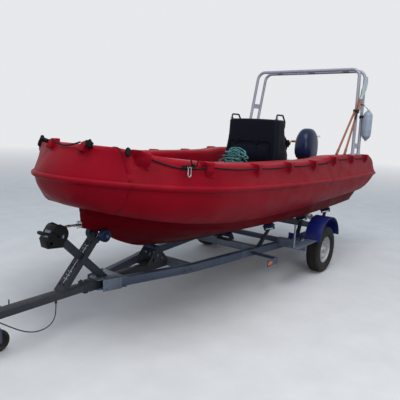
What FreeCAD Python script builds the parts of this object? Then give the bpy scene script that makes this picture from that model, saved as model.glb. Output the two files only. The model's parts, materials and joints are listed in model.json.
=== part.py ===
"""A moulded boat of RIB shape with an outboard engine, standing on its road trailer.

All values are millimetres and degrees. While the pieces are drawn, x runs forward from the
stern tips of the boat, y to port and z up from the ground. Each piece is then moved aft by half
of the whole length, so that the origin lies on the ground in the middle of the object.
"""

import FreeCAD, Part
import math
import os
import re
import Sketcher
from FreeCAD import Placement, Rotation, Vector

document = FreeCAD.newDocument("boat_on_trailer")
sheet = document.addObject("Spreadsheet::Sheet", "Sizes")

# The driving dimensions: name, value.
SIZES = [
    # Boat lines
    ("half_beam", 978), ("strake_height", 1150), ("gunwale_height", 1410), ("junction_height", 850),
    ("collar_width", 300), ("bottom_inset", 200), ("strake_bulge", 26), ("seam_x", 4730),
    ("nose_x", 5000), ("nose_proud", 7), ("nose_rise", 30), ("nose_lean", 75),
    # Hull, cockpit and transom
    ("hull_aft_x", 300), ("stem_x", 4690), ("well_half", 300), ("well_x", 620), ("transom_thick", 42),
    ("transom_height", 1100), ("transom_foot", 505), ("transom_rise", 95), ("sole_height", 950),
    ("bow_deck_x", 3950), ("bow_deck_height", 1440), ("quarter_height", 1180), ("deck_skin", 20),
    ("locker_x", 2190), ("locker_length", 560), ("locker_half", 300), ("locker_height", 1300),
    # Lifeline, lugs, knobs and eyes
    ("lug_width", 88), ("lug_proud", 44), ("line_drop", 58), ("line_sag", 20), ("line_radius", 8),
    ("knob_radius", 34), ("knob_length", 46), ("eye_thick", 12), ("eye_hole_radius", 13),
    ("eye_half", 30), ("eye_length", 50), ("bow_eye_height", 897),
    ("stern_eye_y", 500), ("stern_eye_height", 800),
    # Console, helm and seat
    ("console_aft_x", 1790), ("console_length", 370), ("console_half", 390), ("console_top_half", 352),
    ("console_top_length", 215), ("console_top", 1850), ("console_wall", 9), ("console_rake", 50),
    ("console_round", 26),
    ("hatch_half", 290), ("hatch_foot", 1306), ("hatch_head", 1565), ("hatch_gap", 6), ("hatch_thick", 9),
    ("hatch_hinge_x", 2139), ("hinge_y", -50), ("hinge_spread", 142), ("hinge_half", 32),
    ("knuckle_radius", 7), ("hinge_pin", 3),
    ("rail_radius", 11), ("rail_inset", 32), ("rail_rise", 50), ("rail_reach", 34), ("rail_drop", 100),
    ("helm_x", 1700), ("helm_y", 120), ("helm_height", 1560), ("helm_radius", 168), ("helm_rim", 13),
    ("helm_tilt", 25), ("helm_hub", 32),
    ("throttle_y", 335), ("throttle_height", 1560), ("throttle_box", 90), ("throttle_lever", 120),
    ("seat_x", 1270), ("seat_length", 330), ("seat_half", 240), ("seat_height", 1335), ("cushion_thick", 70),
    # Arch, fender, paddles
    ("arch_tube", 22), ("arch_bend", 110), ("arch_foot_x", 850), ("arch_gap", 232), ("arch_foot_inset", 123),
    ("arch_top_inset", 193), ("arch_lean", 170), ("arch_top", 2609), ("foot_thick", 14),
    ("foot_width", 76), ("arch_plate_thick", 6), ("fender_radius", 62), ("fender_length", 300),
    ("fender_height", 1840), ("paddle_radius", 14), ("blade_width", 150), ("blade_length", 330),
    ("paddle_foot_x", 1430), ("paddle_pitch", 199), ("paddle_inset", 126), ("paddle_layer", 30),
    ("paddle_lean", 680), ("paddle_spread", 240), ("paddle_neck", 2200), ("paddle_strap", 1996),
    ("fender_strap", 1930),
    ("blade_thick", 12), ("strap_thick", 4), ("strap_width", 40), ("strap_half", 25),
    ("heap_x", 2560), ("heap_y", 60), ("heap_half_x", 130), ("heap_half_y", 205), ("heap_rise", 240),
    # Outboard engine
    ("tilt_x", 668), ("tilt_height", 1150), ("tilt_radius", 14), ("clamp_half", 120), ("clamp_thick", 16),
    ("clamp_drop", 330), ("clamp_hook", 140),
    ("steer_x", 505), ("steer_radius", 22), ("swivel_half", 60), ("cowl_x", 450), ("cowl_length", 440),
    ("cowl_width", 280), ("cowl_foot", 1330), ("cowl_top", 1764),
    ("plate_height", 590), ("prop_height", 400), ("gear_radius", 45), ("gear_length", 240),
    ("gear_aft", 235), ("prop_shaft", 9), ("blade_pitch", 28),
    ("prop_radius", 130), ("prop_hub", 32), ("prop_length", 90), ("skeg_foot", 225),
    # Trailer frame
    ("frame_height", 353), ("beam_depth", 80), ("beam_width", 60), ("junction_x", 4500),
    ("coupling_front", 6010), ("drawbar_front", 5760), ("drawbar_width", 80), ("drawbar_depth", 58),
    ("sleeve_front", 4700),
    ("rail_bend_x", 3620), ("rail_bend_y", 325), ("rail_wide_x", 1980), ("rail_half", 535),
    ("frame_aft_x", 450), ("rail_nose_y", 78), ("rear_bar_x", 760), ("middle_bar_x", 2560),
    ("web_thick", 8), ("front_roller_x", 3850),
    ("ball_x", 5900), ("ball_radius", 26), ("coupling_width", 76), ("coupling_height", 64),
    # Axle, wheels and mudguards
    ("axle_x", 1700), ("tyre_radius", 285), ("tyre_width", 155), ("rim_radius", 165), ("track_half", 865),
    ("axle_beam", 60), ("stub_radius", 18), ("bearing_gap", 0.05), ("hub_radius", 45), ("rim_thick", 8),
    ("hub_face", 44),
    ("guard_inner_y", 765), ("guard_width", 202), ("guard_radius", 305), ("guard_height", 395),
    ("guard_thick", 4), ("guard_end", 435), ("step_x", 2030), ("step_length", 520), ("step_y", 815),
    ("step_width", 130), ("step_height", 455), ("guide_post", 250), ("marker_x", 2720),
    ("marker_y", 780), ("marker_length", 230), ("marker_depth", 70), ("reflector_length", 90),
    ("reflector_depth", 34),
    # Winch, bow support and rollers
    ("post_width", 60), ("post_foot_x", 4470), ("post_head_x", 4890), ("post_head", 800),
    ("cradle_foot_x", 4890), ("cradle_head_x", 4565), ("cradle_head", 765), ("cradle_width", 106),
    ("cradle_slot", 14), ("cradle_thick", 44), ("bow_roller_x", 4520), ("bow_roller_height", 786),
    ("bow_roller_radius", 54), ("bow_roller_y", 82), ("bow_roller_width", 48),
    ("winch_x", 4960), ("winch_height", 850), ("winch_half", 52), ("drum_radius", 62), ("crank_length", 190),
    ("crank_angle", 20), ("drum_shaft", 9), ("wound_radius", 40), ("keel_roller_radius", 34),
    ("keel_roller_width", 160), ("spindle_radius", 8),
    ("side_roller_radius", 30), ("side_roller_width", 110), ("side_roller_y", 575),
    ("side_roller_ahead", 2560), ("side_roller_aft", 930),
    # Jockey wheel
    ("jockey_x", 5400), ("jockey_y", 115), ("jockey_tube", 24), ("jockey_leg_radius", 19),
    ("jockey_foot", 330), ("jockey_head", 760), ("jockey_radius", 85), ("jockey_width", 46),
    ("jockey_trail", 35), ("fork_thick", 5), ("crown_height", 186), ("crown_thick", 8),
    ("jockey_leg_length", 400),
    # Lighting lead
    ("lead_radius", 4.5), ("gland_x", 4956), ("gland_y", 20), ("gland_radius", 10), ("gland_length", 18),
    ("plug_x", 5560), ("plug_length", 80), ("plug_radius", 21), ("socket_length", 30),
]

for row, (alias, value) in enumerate(SIZES, start=1):
    sheet.set(f"A{row}", alias)
    sheet.set(f"B{row}", str(value))
    sheet.setAlias(f"B{row}", alias)
document.recompute()

NAMES = {alias for alias, value in SIZES}
NODES = []


def mm(alias):
    """The value of one cell of the sheet."""
    return float(sheet.get(alias))


def cells(text):
    """An expression with each size's name turned into its cell."""
    return re.sub(r"[a-z][a-z_]*", lambda m: f"Sizes.{m[0]}" if m[0] in NAMES else m[0], str(text))


def node(label, thing):
    """Label a finished sub-part and keep it for export."""
    thing.Label = label
    NODES.append(thing)
    return thing


def place(thing, x="0", y="0", z="0", axis=None, angle=0, centred=True):
    """Put an object at x, y, z, aft by half the whole length, turned about an axis."""
    if axis:
        thing.Placement = Placement(Vector(), Rotation(Vector(*axis), angle))
    aft = "coupling_front / 2" if centred else "0"
    for letter, value in zip("xyz", (f"{x} - {aft}", y, z)):
        thing.setExpression(f"Placement.Base.{letter}", cells(value))
    return thing


def box(x, y, z, length, width, height, axis=None, angle=0):
    thing = document.addObject("Part::Box", "box")
    for name, value in (("Length", length), ("Width", width), ("Height", height)):
        thing.setExpression(name, cells(value))
    return place(thing, x, y, z, axis, angle)


def rod(x, y, z, radius, length, along="z"):
    """A cylinder that starts at x, y, z and runs along an axis."""
    turn = {"x": ((0, 1, 0), 90), "y": ((1, 0, 0), -90), "z": (None, 0)}[along]
    thing = document.addObject("Part::Cylinder", "rod")
    thing.setExpression("Radius", cells(radius))
    thing.setExpression("Height", cells(length))
    return place(thing, x, y, z, *turn)


def cut(base, tool):
    thing = document.addObject("Part::Cut", "cut")
    thing.Base = base
    thing.Tool = tool
    return thing


def fuse(*parts):
    thing = document.addObject("Part::MultiFuse", "fuse")
    thing.Shapes = list(parts)
    return thing


def solid(shape):
    """A free shape, drawn from the stern tips, moved to its place in the whole."""
    thing = document.addObject("Part::Feature", "shape")
    thing.Shape = shape
    aft = Placement(Vector(-mm("coupling_front") / 2, 0, 0), Rotation())
    thing.Placement = aft.multiply(shape.Placement)
    return thing


# Sketch planes: role of the origin plane, and the row axes that its x and y follow.
PLANES = {"XY": "XY_Plane", "XZ": "XZ_Plane", "YZ": "YZ_Plane"}


def sketch_on(body, plane, points):
    """A closed polygon whose corners are held by expressions from the sheet."""
    sketch = body.newObject("Sketcher::SketchObject", "outline")
    role = PLANES[plane]
    face = [item for item in body.Origin.OriginFeatures if item.Role == role][0]
    sketch.AttachmentSupport = [(face, "")]
    sketch.MapMode = "FlatFace"
    count = len(points)
    for i in range(count):
        here = 2 * math.pi * i / count
        there = 2 * math.pi * (i + 1) / count
        start = Vector(100 * math.cos(here), 100 * math.sin(here), 0)
        end = Vector(100 * math.cos(there), 100 * math.sin(there), 0)
        sketch.addGeometry(Part.LineSegment(start, end), False)
    for i in range(count):
        sketch.addConstraint(Sketcher.Constraint("Coincident", i, 2, (i + 1) % count, 1))
    for i, corner in enumerate(points):
        for kind, value in zip(("DistanceX", "DistanceY"), corner):
            index = sketch.addConstraint(Sketcher.Constraint(kind, -1, 1, i, 1, 50.0 + i))
            sketch.setExpression(f"Constraints[{index}]", cells(value))
    return sketch


def plate(plane, points, thick, x="0", y="0", z="0"):
    """A polygon padded evenly to both sides of its plane, as a body."""
    body = document.addObject("PartDesign::Body", "body")
    pad = body.newObject("PartDesign::Pad", "pad")
    pad.Profile = sketch_on(body, plane, points)
    pad.Midplane = True
    pad.setExpression("Length", cells(thick))
    body.Tip = pad
    return place(body, x, y, z)


# The boat's lines. Columns: x, inset of the strake from the half beam, and the rise of the
# strake, the gunwale and the collar's lower edge above their main heights; then how full the
# collar's section is, from a point at 0 to whole at 1; and how far its upper edge leans in.
LINES = [
    (0, 30, 1, 12, 36, 0.30, 0),
    (70, 20, 1, 12, 36, 0.72, 0),
    (200, 15, 0, 14, 32, 0.95, 0),
    (300, 14, 0, 16, 30, 1, 0),
    (900, 9, 0, 22, 18, 1, 0),
    (1700, 4, 8, 27, 6, 1, 0),
    (2050, 3, 16, 2, -5, 1, 0),
    (3000, 0, 43, 4, 4, 1, 0),
    (3600, 1, 70, 14, 35, 1, 0),
    (4050, 20, 91, 38, 85, 1, 0),
    (4300, 89, 106, 58, 115, 1, 3),
    (4500, 180, 118, 85, 150, 1, 15),
    (4730, 380, 132, 142, 195, 1, 48),
]

# The hull below the collar. Columns: x, half width at its top, half width and height of the
# chine, height of the keel. A half width of 0 means as wide as the collar's lower edge.
HULL = [
    (300, 0, 690, 740, 495),
    (900, 0, 697, 725, 492),
    (1700, 0, 705, 716, 490),
    (2050, 0, 705, 716, 490),
    (3000, 0, 705, 755, 497),
    (3600, 0, 690, 805, 545),
    (4050, 690, 560, 850, 600),
    (4300, 500, 390, 895, 690),
    (4500, 290, 210, 930, 803),
    (4690, 40, 30, 985, 863),
]

# Where the lugs stand along each side.
LUGS = [485, 1075, 1690, 2280, 2885, 3515, 4190, 4640]


def between(x, column):
    """One column of the lines at any x, straight between the stations."""
    for low, high in zip(LINES, LINES[1:]):
        if x <= high[0]:
            share = (x - low[0]) / (high[0] - low[0])
            return low[column] + share * (high[column] - low[column])
    return LINES[-1][column]


def half_beam(x):
    return mm("half_beam") - between(x, 1)


def strake(x):
    return mm("strake_height") + between(x, 2)


def gunwale(x):
    return mm("gunwale_height") + between(x, 3)


def junction(x):
    return mm("junction_height") + between(x, 4)


def arc(a, b, c):
    return Part.Arc(Vector(*a), Vector(*b), Vector(*c)).toShape()


def line(a, b):
    return Part.LineSegment(Vector(*a), Vector(*b)).toShape()


def collar_section(x, side):
    """The collar's section at x: inner wall, gunwale, side, moulded strake and tuck under."""
    beam, full, wide = half_beam(x), between(x, 5), mm("collar_width")
    low, mid, top = junction(x), strake(x), gunwale(x)
    low, top = mid - full * (mid - low), mid + full * (top - mid)
    bulge, tuck = mm("strake_bulge") * (0.4 + 0.6 * full), mm("bottom_inset")
    lip, lean = 45 * full, between(x, 6)

    def at(depth, height):
        return (x, side * (beam - depth), height)

    return Part.Wire([
        line(at(wide, low), at(wide, top - lip)),
        arc(at(wide, top - lip), at(wide - 14, top - lip * 0.3), at(wide - 50, top)),
        line(at(wide - 50, top), at(105 + lean, top)),
        arc(at(105 + lean, top), at(70 + lean, top - lip * 0.28), at(52 + lean, top - lip)),
        line(at(52 + lean, top - lip), at(bulge, mid + bulge)),
        arc(at(bulge, mid + bulge), at(0, mid), at(bulge, mid - bulge)),
        arc(at(bulge, mid - bulge), at(72, low + 0.4 * (mid - low)), at(tuck, low)),
        line(at(tuck, low), at(wide, low)),
    ])


def loft(wires):
    return Part.makeLoft(wires, True, True)


def polygon(points):
    return Part.makePolygon([Vector(*p) for p in points + points[:1]])


def lug(x, side):
    """One moulded lug: deep at the gunwale and tapered down the collar's side."""
    wide, proud = mm("lug_width"), mm("lug_proud")
    ahead = min(x + 60, mm("seam_x"))
    slope = math.degrees(math.atan2(half_beam(x - 60) - half_beam(ahead), ahead - x + 60))
    face = polygon([(0, 130, -30), (0, 96, 10), (0, 52 - proud + 14, 8), (0, 52 - proud, -20),
                    (0, 52 - proud, -84), (0, 40, -128), (0, 70, -128)])
    shape = Part.Face(face).extrude(Vector(wide, 0, 0))
    shape.translate(Vector(-wide / 2, 0, 0))
    shape.rotate(Vector(), Vector(0, 0, 1), 180 + slope)
    shape.translate(Vector(x, half_beam(x), gunwale(x)))
    if side < 0:
        shape = shape.mirror(Vector(), Vector(0, 1, 0))
    return shape


def collar(side):
    body = loft([collar_section(station[0], side) for station in LINES])
    return body.fuse([lug(x, side) for x in LUGS]).removeSplitter()


def nose_outline(inset, height, slope, back):
    """One level of the nose: three arcs round the front, closed across the seam."""
    seam, front, proud = mm("seam_x"), mm("nose_x") - back, mm("nose_proud")
    wide = half_beam(seam)
    beam = wide + proud - inset
    out = inset - proud

    def at(x, y):
        return (x, y, height + slope * (x - seam))

    # From the seam round the shoulder, across the blunt front, and back. The shoulder and the
    # corner of the front lie at shares of the beam that the seam has.
    start = (seam, beam)
    shoulder = (front + 0.45 * back - 98 - 0.75 * out, 0.622 * wide - 0.66 * out - 0.3 * back)
    corner = (front - 20 - out, 0.318 * wide - 0.3 * out)
    return Part.Wire([
        arc(at(*start), at(*shoulder), at(*corner)),
        arc(at(*corner), at(front - out, 0), at(corner[0], -corner[1])),
        arc(at(corner[0], -corner[1]), at(shoulder[0], -shoulder[1]), at(start[0], -start[1])),
        line(at(start[0], -start[1]), at(*start)),
    ])


def nose():
    """The fatter moulding round the bow, from one seam to the other, with its own lugs."""
    seam = mm("seam_x")
    mid, top, low = strake(seam), gunwale(seam), junction(seam)
    bulge, rise, lean = mm("strake_bulge"), mm("nose_rise") / (mm("nose_x") - seam), mm("nose_lean")
    tilt = between(seam, 6)
    # Columns: inset from the strake's edge, height, slope up towards the front, how far the front
    # leans back.
    levels = [
        (mm("bottom_inset"), low, 0.2, 0),
        (95, low + 0.42 * (mid - low), 0.15, 0),
        (bulge, mid - bulge, 0.07, 0),
        (0, mid, 0.07, 0),
        (bulge, mid + bulge, 0.07, 0),
        (26 + (bulge + tilt) / 2, (mid + bulge + top - 45) / 2, (0.07 + rise) / 2, 0.2 * lean),
        (52 + tilt, top - 45, rise, 0.66 * lean),
        (70 + tilt, top - 13, rise, 0.87 * lean),
        (105 + tilt, top, rise, lean),
    ]
    body = loft([nose_outline(*level) for level in levels])
    # The lugs stand at a share of the beam that the seam has, like the corners of the front.
    blocks = []
    for side in (-1, 1):
        y = side * 0.334448 * half_beam(seam)
        face = polygon([(100, y - 29, 8), (56, y - 29, 9), (34, y - 29, -3), (8, y - 29, -42),
                        (0, y - 29, -62), (20, y - 29, -70), (70, y - 29, -70)])
        block = Part.Face(face).extrude(Vector(0, 58, 0))
        block = block.mirror(Vector(), Vector(1, 0, 0))
        block.translate(Vector(mm("nose_x") - lean - tilt - 7, 0, top + mm("nose_rise") - 6))
        blocks.append(block)
    return body.fuse(blocks).removeSplitter()


def hull():
    """The vee bottom from the engine well's tips to the stem, with the well cut out."""
    wires = []
    for x, half, chine_half, chine_height, keel in HULL:
        wide = half or half_beam(x) - mm("bottom_inset")
        top = junction(x)
        wires.append(polygon([(x, 0, keel), (x, chine_half, chine_height), (x, wide, top),
                              (x, -wide, top), (x, -chine_half, chine_height)]))
    aft = mm("well_x") + mm("transom_thick")
    well = Part.makeBox(aft, 2 * mm("well_half"), mm("gunwale_height"), Vector(0, -mm("well_half"), 0))
    cockpit = fill(aft, mm("bow_deck_x"), mm("gunwale_height"), low=mm("sole_height"))
    return loft(wires).cut([well, cockpit, deck()])


def fill(start, end, top, half=None, low=None):
    """What stands between the collars' inner walls from start to end, up to a level top.

    As far as the bow deck's start it reaches down to the sole.
    """
    wires = []
    for x in [start] + [station[0] for station in LINES if start < station[0] < end] + [end]:
        wide = half or half_beam(x) - mm("collar_width")
        level = min(top, mm("sole_height")) if x <= mm("bow_deck_x") else top
        foot = low or min(junction(x), level - mm("deck_skin"))
        wires.append(polygon([(x, -wide, foot), (x, wide, foot), (x, wide, top), (x, -wide, top)]))
    return loft(wires)


def deck():
    """The moulded inner deck: sole, bow deck, seat locker and the quarters beside the well."""
    aft = mm("well_x") + mm("transom_thick")
    sole = fill(aft, mm("bow_deck_x"), mm("sole_height"))
    bow = fill(mm("bow_deck_x"), mm("seam_x"), mm("bow_deck_height"))
    locker = fill(mm("locker_x"), mm("locker_x") + mm("locker_length"), mm("locker_height"),
                  mm("locker_half"), mm("sole_height") - 10)
    quarters = fill(mm("hull_aft_x"), aft + 60, mm("quarter_height"))
    well = Part.makeBox(aft + 60, 2 * mm("well_half"), mm("gunwale_height"),
                        Vector(0, -mm("well_half"), 0))
    room = Part.makeBox(120, 2 * mm("clamp_half") + 80, mm("gunwale_height"),
                        Vector(aft, -mm("clamp_half") - 40, mm("transom_height") - mm("clamp_hook")))
    return sole.fuse([bow, locker, quarters.cut(well)]).cut(room).removeSplitter()


def bent_path(points, radius=None, share=0.45):
    """Straight runs joined by tangent arcs, as one wire, with its length and its radii."""
    corners = [Vector(*p) for p in points]
    edges, radii = [], []
    here = corners[0]
    for before, corner, after in zip(corners, corners[1:], corners[2:]):
        back, ahead = (before - corner), (after - corner)
        turn = math.pi - back.getAngle(ahead)
        reach = share * min(back.Length, ahead.Length)
        if radius:
            reach = min(reach, radius * math.tan(turn / 2))
        radii.append(reach / math.tan(turn / 2))
        back.normalize()
        ahead.normalize()
        start, end = corner + back * reach, corner + ahead * reach
        inward = back + ahead
        inward.normalize()
        centre = corner + inward * (reach / math.sin(turn / 2))
        middle = centre - inward * radii[-1]
        if (start - here).Length > 0.01:
            edges.append(Part.LineSegment(here, start).toShape())
        edges.append(Part.Arc(start, middle, end).toShape())
        here = end
    edges.append(Part.LineSegment(here, corners[-1]).toShape())
    return Part.Wire(edges), radii


def tube(points, radius, bend=None, report=""):
    """A round bar along a bent path; a report compares it with its section times its length."""
    path, radii = bent_path(points, bend)
    start = Vector(*points[0])
    along = Vector(*points[1]) - start
    section = Part.Wire([Part.Circle(start, along, radius).toShape()])
    shape = path.makePipeShell([section], True, False)
    if report:
        whole = math.pi * radius ** 2 * path.Length
        print(f"{report}: length {path.Length:.0f}, radii {[round(r) for r in radii]}, "
              f"volume share {shape.Volume / whole:.4f}")
    return shape


def side_line(side):
    """The lifeline: one span from each lug's face to the next, sagging a little between."""
    spans = []
    half = mm("lug_width") / 2
    for aft, ahead in zip(LUGS, LUGS[1:]):
        curved = between(ahead, 1) - between(aft, 1) > 150
        start, end = aft + half + (28 if curved else 2), ahead - half * (0.75 if curved else 1) - 2
        points = []
        for share in (0, 0.3, 0.7, 1):
            x = start + share * (end - start)
            sag = mm("line_sag") * (1 if 0 < share < 1 else 0)
            out = 52 - mm("lug_proud") + mm("line_radius") + 8
            points.append((x, side * (half_beam(x) - out), gunwale(x) - mm("line_drop") - sag))
        spans.append(tube(points, mm("line_radius")))
    return Part.Compound(spans)


def knobs(nose_shape, collars):
    """Round stops on the bow where the lifelines start."""
    seam = mm("seam_x")
    # Columns: x ahead of the seam, share of the beam there, height above the gunwale there,
    # direction of the stop's outer face in degrees from forward.
    places = [(116, 0.475, 15, 42), (-30, 0.890, -32, 58)]
    stops = []
    for ahead, share, rise, heading in places:
        turn = math.radians(heading)
        along = Vector(math.cos(turn), math.sin(turn), 0.35)
        along.normalize()
        place = Vector(seam + ahead, share * half_beam(seam), gunwale(seam) + rise)
        start = place - along * 75
        stop = Part.makeCylinder(mm("knob_radius"), 75 + mm("knob_length") * 0.7, start, along)
        for side in (1, -1):
            piece = stop if side > 0 else stop.mirror(Vector(), Vector(0, 1, 0))
            stops.append(piece.cut(nose_shape).cut(collars[0]).cut(collars[1]))
    kept = []
    for stop in stops:
        outer = max(stop.Solids, key=lambda item: item.BoundBox.XMax + abs(item.CenterOfMass.y))
        kept.append(outer)
    return Part.Compound(kept)


# Boat shell
nose_shape = nose()
collar_shapes = [collar(1), collar(-1)]
node("hull", solid(hull()))
node("collar_port", solid(collar_shapes[0]))
node("collar_starboard", solid(collar_shapes[1]))
node("nose", solid(nose_shape))
node("deck", solid(deck()))
node("lifeline_port", solid(side_line(1)))
node("lifeline_starboard", solid(side_line(-1)))
node("lifeline_knobs", solid(knobs(nose_shape, collar_shapes)))
node("transom", plate("YZ", [
    ("-well_half", "transom_foot + transom_rise"), ("0", "transom_foot"),
    ("well_half", "transom_foot + transom_rise"), ("well_half", "transom_height"),
    ("-well_half", "transom_height")], "transom_thick", x="well_x + transom_thick / 2"))


def eye(x, y, z, along):
    """A towing eye: a thick plate with a round hole across it."""
    start = f"{x} - 0.1" if along > 0 else f"{x} - eye_length"
    blank = box(start if along < 0 else x, f"{y} - eye_thick / 2", f"{z} - eye_half",
                "eye_length", "eye_thick", "2 * eye_half")
    hole = rod(f"{x} + {along} * (eye_length - eye_hole_radius - 12)", f"{y} - eye_thick", z,
               "eye_hole_radius", "2 * eye_thick", "y")
    return cut(blank, hole)


node("towing_eyes", fuse(eye("stem_x", "0", "bow_eye_height", 1),
                         eye("hull_aft_x", "stern_eye_y", "stern_eye_height", -1),
                         eye("hull_aft_x", "-stern_eye_y", "stern_eye_height", -1)))


def rounded(x0, x1, half, height, corner):
    """A level outline with its four upright corners rounded."""
    k = corner * (1 - math.sqrt(0.5))
    wire = []
    spots = [(x1, half, -1, -1), (x0, half, 1, -1), (x0, -half, 1, 1), (x1, -half, -1, 1)]
    ends = []
    for x, y, dx, dy in spots:
        near = (x, y + dy * corner, height) if dx * dy > 0 else (x + dx * corner, y, height)
        far = (x + dx * corner, y, height) if dx * dy > 0 else (x, y + dy * corner, height)
        ends.append((near, (x + dx * k, y + dy * k, height), far))
    for i, (near, middle, far) in enumerate(ends):
        wire.append(arc(near, middle, far))
        wire.append(line(far, ends[(i + 1) % 4][0]))
    return Part.Wire(wire)


def console_form(inset):
    """The console's outer or inner form between the sole and its top."""
    foot, head = mm("sole_height"), mm("console_top")
    aft, front = mm("console_aft_x"), mm("console_aft_x") + mm("console_length")
    top_front = front - mm("console_rake")
    top_aft = top_front - mm("console_top_length")
    low = foot if not inset else foot - 1
    high = head - inset
    levels = [
        rounded(aft + inset, front - inset, mm("console_half") - inset, low, 60 - inset),
        rounded(aft + 10 + inset, front - 20 - inset, mm("console_half") - 14 - inset, 1420, 60 - inset),
    ]
    # Columns: share of the rounding that is left below the top, share that is taken off the sides.
    for below, off in ((1, 0), (0.3, 0.3), (0, 1)):
        side = inset + off * mm("console_round")
        levels.append(rounded(top_aft + side, top_front - side, mm("console_top_half") - side,
                              high - below * mm("console_round"), 50 - inset))
    return loft(levels)


def hinge_line():
    """Where the hatch's hinge pins run, just ahead of the console's front at the lid's top."""
    return mm("hatch_hinge_x"), mm("hatch_head") - mm("hatch_gap") + 1


def hinge_leaves(half, inner, low, high):
    """Knuckles on the hinge line with leaves on the console's front, at both hinges."""
    x, z = hinge_line()
    radius = mm("knuckle_radius")
    leaves = []
    for y in (mm("hinge_y") - mm("hinge_spread"), mm("hinge_y") + mm("hinge_spread")):
        knuckle = Part.makeCylinder(radius, 2 * half, Vector(x, y - half, z), Vector(0, 1, 0))
        leaf = Part.makeBox(40, 2 * half, high - low, Vector(x - 43, y - half, low))
        piece = knuckle.fuse(leaf.cut(console_form(0)))
        if inner:
            between = Part.makeBox(80, 2 * inner, 200, Vector(x - 60, y - inner, z - 100))
            pin = Part.makeCylinder(mm("hinge_pin"), 2 * half, Vector(x, y - half, z), Vector(0, 1, 0))
            piece = piece.cut(between).fuse(pin)
        leaves.append(piece)
    return leaves


def console():
    """A hollow moulded console with a hatch opening low in its front."""
    shell = console_form(0).cut(console_form(mm("console_wall")))
    front = mm("console_aft_x") + mm("console_length")
    half, foot, head = mm("hatch_half"), mm("hatch_foot"), mm("hatch_head")
    opening = Part.makeBox(120, 2 * half, head - foot, Vector(front - 100, -half, foot))
    boss = Part.makeCylinder(mm("helm_hub"), 150, helm_centre() + helm_axis() * 40, helm_axis())
    shell = shell.cut(opening).fuse(boss.cut(console_form(mm("console_wall") + 2)))
    return shell.fuse(hinge_leaves(mm("hinge_half"), mm("hinge_half") / 2, hinge_line()[1], head + 40))


def helm_axis():
    """The way the steering shaft runs, forward and down into the dash."""
    tilt = math.radians(mm("helm_tilt"))
    return Vector(math.cos(tilt), 0, -math.sin(tilt))


def helm_centre():
    return Vector(mm("helm_x"), mm("helm_y"), mm("helm_height"))


def hatch():
    """The hatch lid, which lies in the console's opening with a gap all round."""
    gap = mm("hatch_gap")
    front = mm("console_aft_x") + mm("console_length")
    half, foot, head = mm("hatch_half") - gap, mm("hatch_foot") + gap, mm("hatch_head") - gap
    slab = Part.makeBox(200, 2 * half, head - foot, Vector(front - 150, -half, foot))
    skin = console_form(0).cut(console_form(mm("hatch_thick")))
    x, z = hinge_line()
    leaves = hinge_leaves(mm("hinge_half") / 2 - 1, 0, head - 40, z)
    lid = skin.common(slab).fuse(leaves)
    bore = Part.makeCylinder(mm("hinge_pin") + mm("bearing_gap"), 4 * half, Vector(x, -2 * half, z),
                             Vector(0, 1, 0))
    return lid.cut(bore)


node("console", solid(console()))
node("console_hatch", solid(hatch()))


def grab_rails():
    """A rail over each upper side edge of the console, from its top down to its aft face."""
    bars = []
    front = mm("console_aft_x") + mm("console_length") - mm("console_rake")
    aft, top = front - mm("console_top_length"), mm("console_top")
    high, low, reach = top + mm("rail_rise"), top - mm("rail_drop"), mm("rail_reach")
    for side in (1, -1):
        y = side * (mm("console_top_half") - mm("rail_inset"))
        bar = tube([(front - 30, y, top - 20), (front - 36, y, high), (aft + 30, y, high),
                    (aft - reach, y, (high + low) / 2), (aft - reach, y, low), (aft + 10, y, low - 12)],
                   mm("rail_radius"), 20)
        bars.append(bar.cut(console_form(0)))
    return Part.Compound(bars)


node("grab_rails", solid(grab_rails()))


def helm():
    """The steering wheel: rim, three spokes and hub, square to its shaft."""
    hub = Part.makeCylinder(mm("helm_hub"), 45, Vector(0, 0, -39.5))
    spokes = []
    for k in range(3):
        spoke = Part.makeBox(mm("helm_radius"), 26, 7, Vector(0, -13, 0))
        spoke.rotate(Vector(), Vector(0, 0, 1), 120 * k + 90)
        spokes.append(spoke)
    shape = Part.makeTorus(mm("helm_radius"), mm("helm_rim")).fuse([hub] + spokes)
    shape.rotate(Vector(), Vector(0, 1, 0), -90 + mm("helm_tilt"))
    shape.translate(helm_centre())
    return shape


def throttle():
    """The control box on the console's port side with its lever."""
    y, z, size = mm("throttle_y"), mm("throttle_height"), mm("throttle_box")
    base = Part.makeBox(120, 36, size, Vector(mm("console_aft_x") - 40, y - 20, z - size / 2))
    base = base.cut(console_form(0))
    lever = tube([(mm("console_aft_x") - 20, y + 24, z), (mm("console_aft_x") - 60, y + 24, z + 30),
                  (mm("console_aft_x") - 20 - mm("throttle_lever"), y + 24, z + 30)], 8, 30)
    pivot = Part.makeCylinder(20, 20, Vector(mm("console_aft_x") - 20, y + 14, z), Vector(0, 1, 0))
    grip = Part.makeCylinder(14, 60, Vector(mm("console_aft_x") - 20 - mm("throttle_lever"), y - 6, z + 30),
                             Vector(0, 1, 0))
    return base.fuse([pivot, lever, grip])


node("steering_wheel", solid(helm()))
node("throttle", solid(throttle()))
seat_box = box("seat_x", "-seat_half", "sole_height", "seat_length", "2 * seat_half",
               "seat_height - cushion_thick - sole_height")
node("seat_box", seat_box)
node("seat_cushion", box("seat_x", "-seat_half", "seat_height - cushion_thick", "seat_length",
                         "2 * seat_half", "cushion_thick"))


def hoop_points(foot_x):
    """The corners of one hoop of the arch, from the port foot over to the starboard foot."""
    foot = gunwale(foot_x) + mm("foot_thick")
    head = mm("arch_top") - mm("arch_tube")
    aft = foot_x - mm("arch_lean")
    foot_y = mm("half_beam") - mm("arch_foot_inset")
    head_y = mm("half_beam") - mm("arch_top_inset")
    return [(foot_x, foot_y, foot), (aft, head_y, head), (aft, -head_y, head), (foot_x, -foot_y, foot)]


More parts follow.
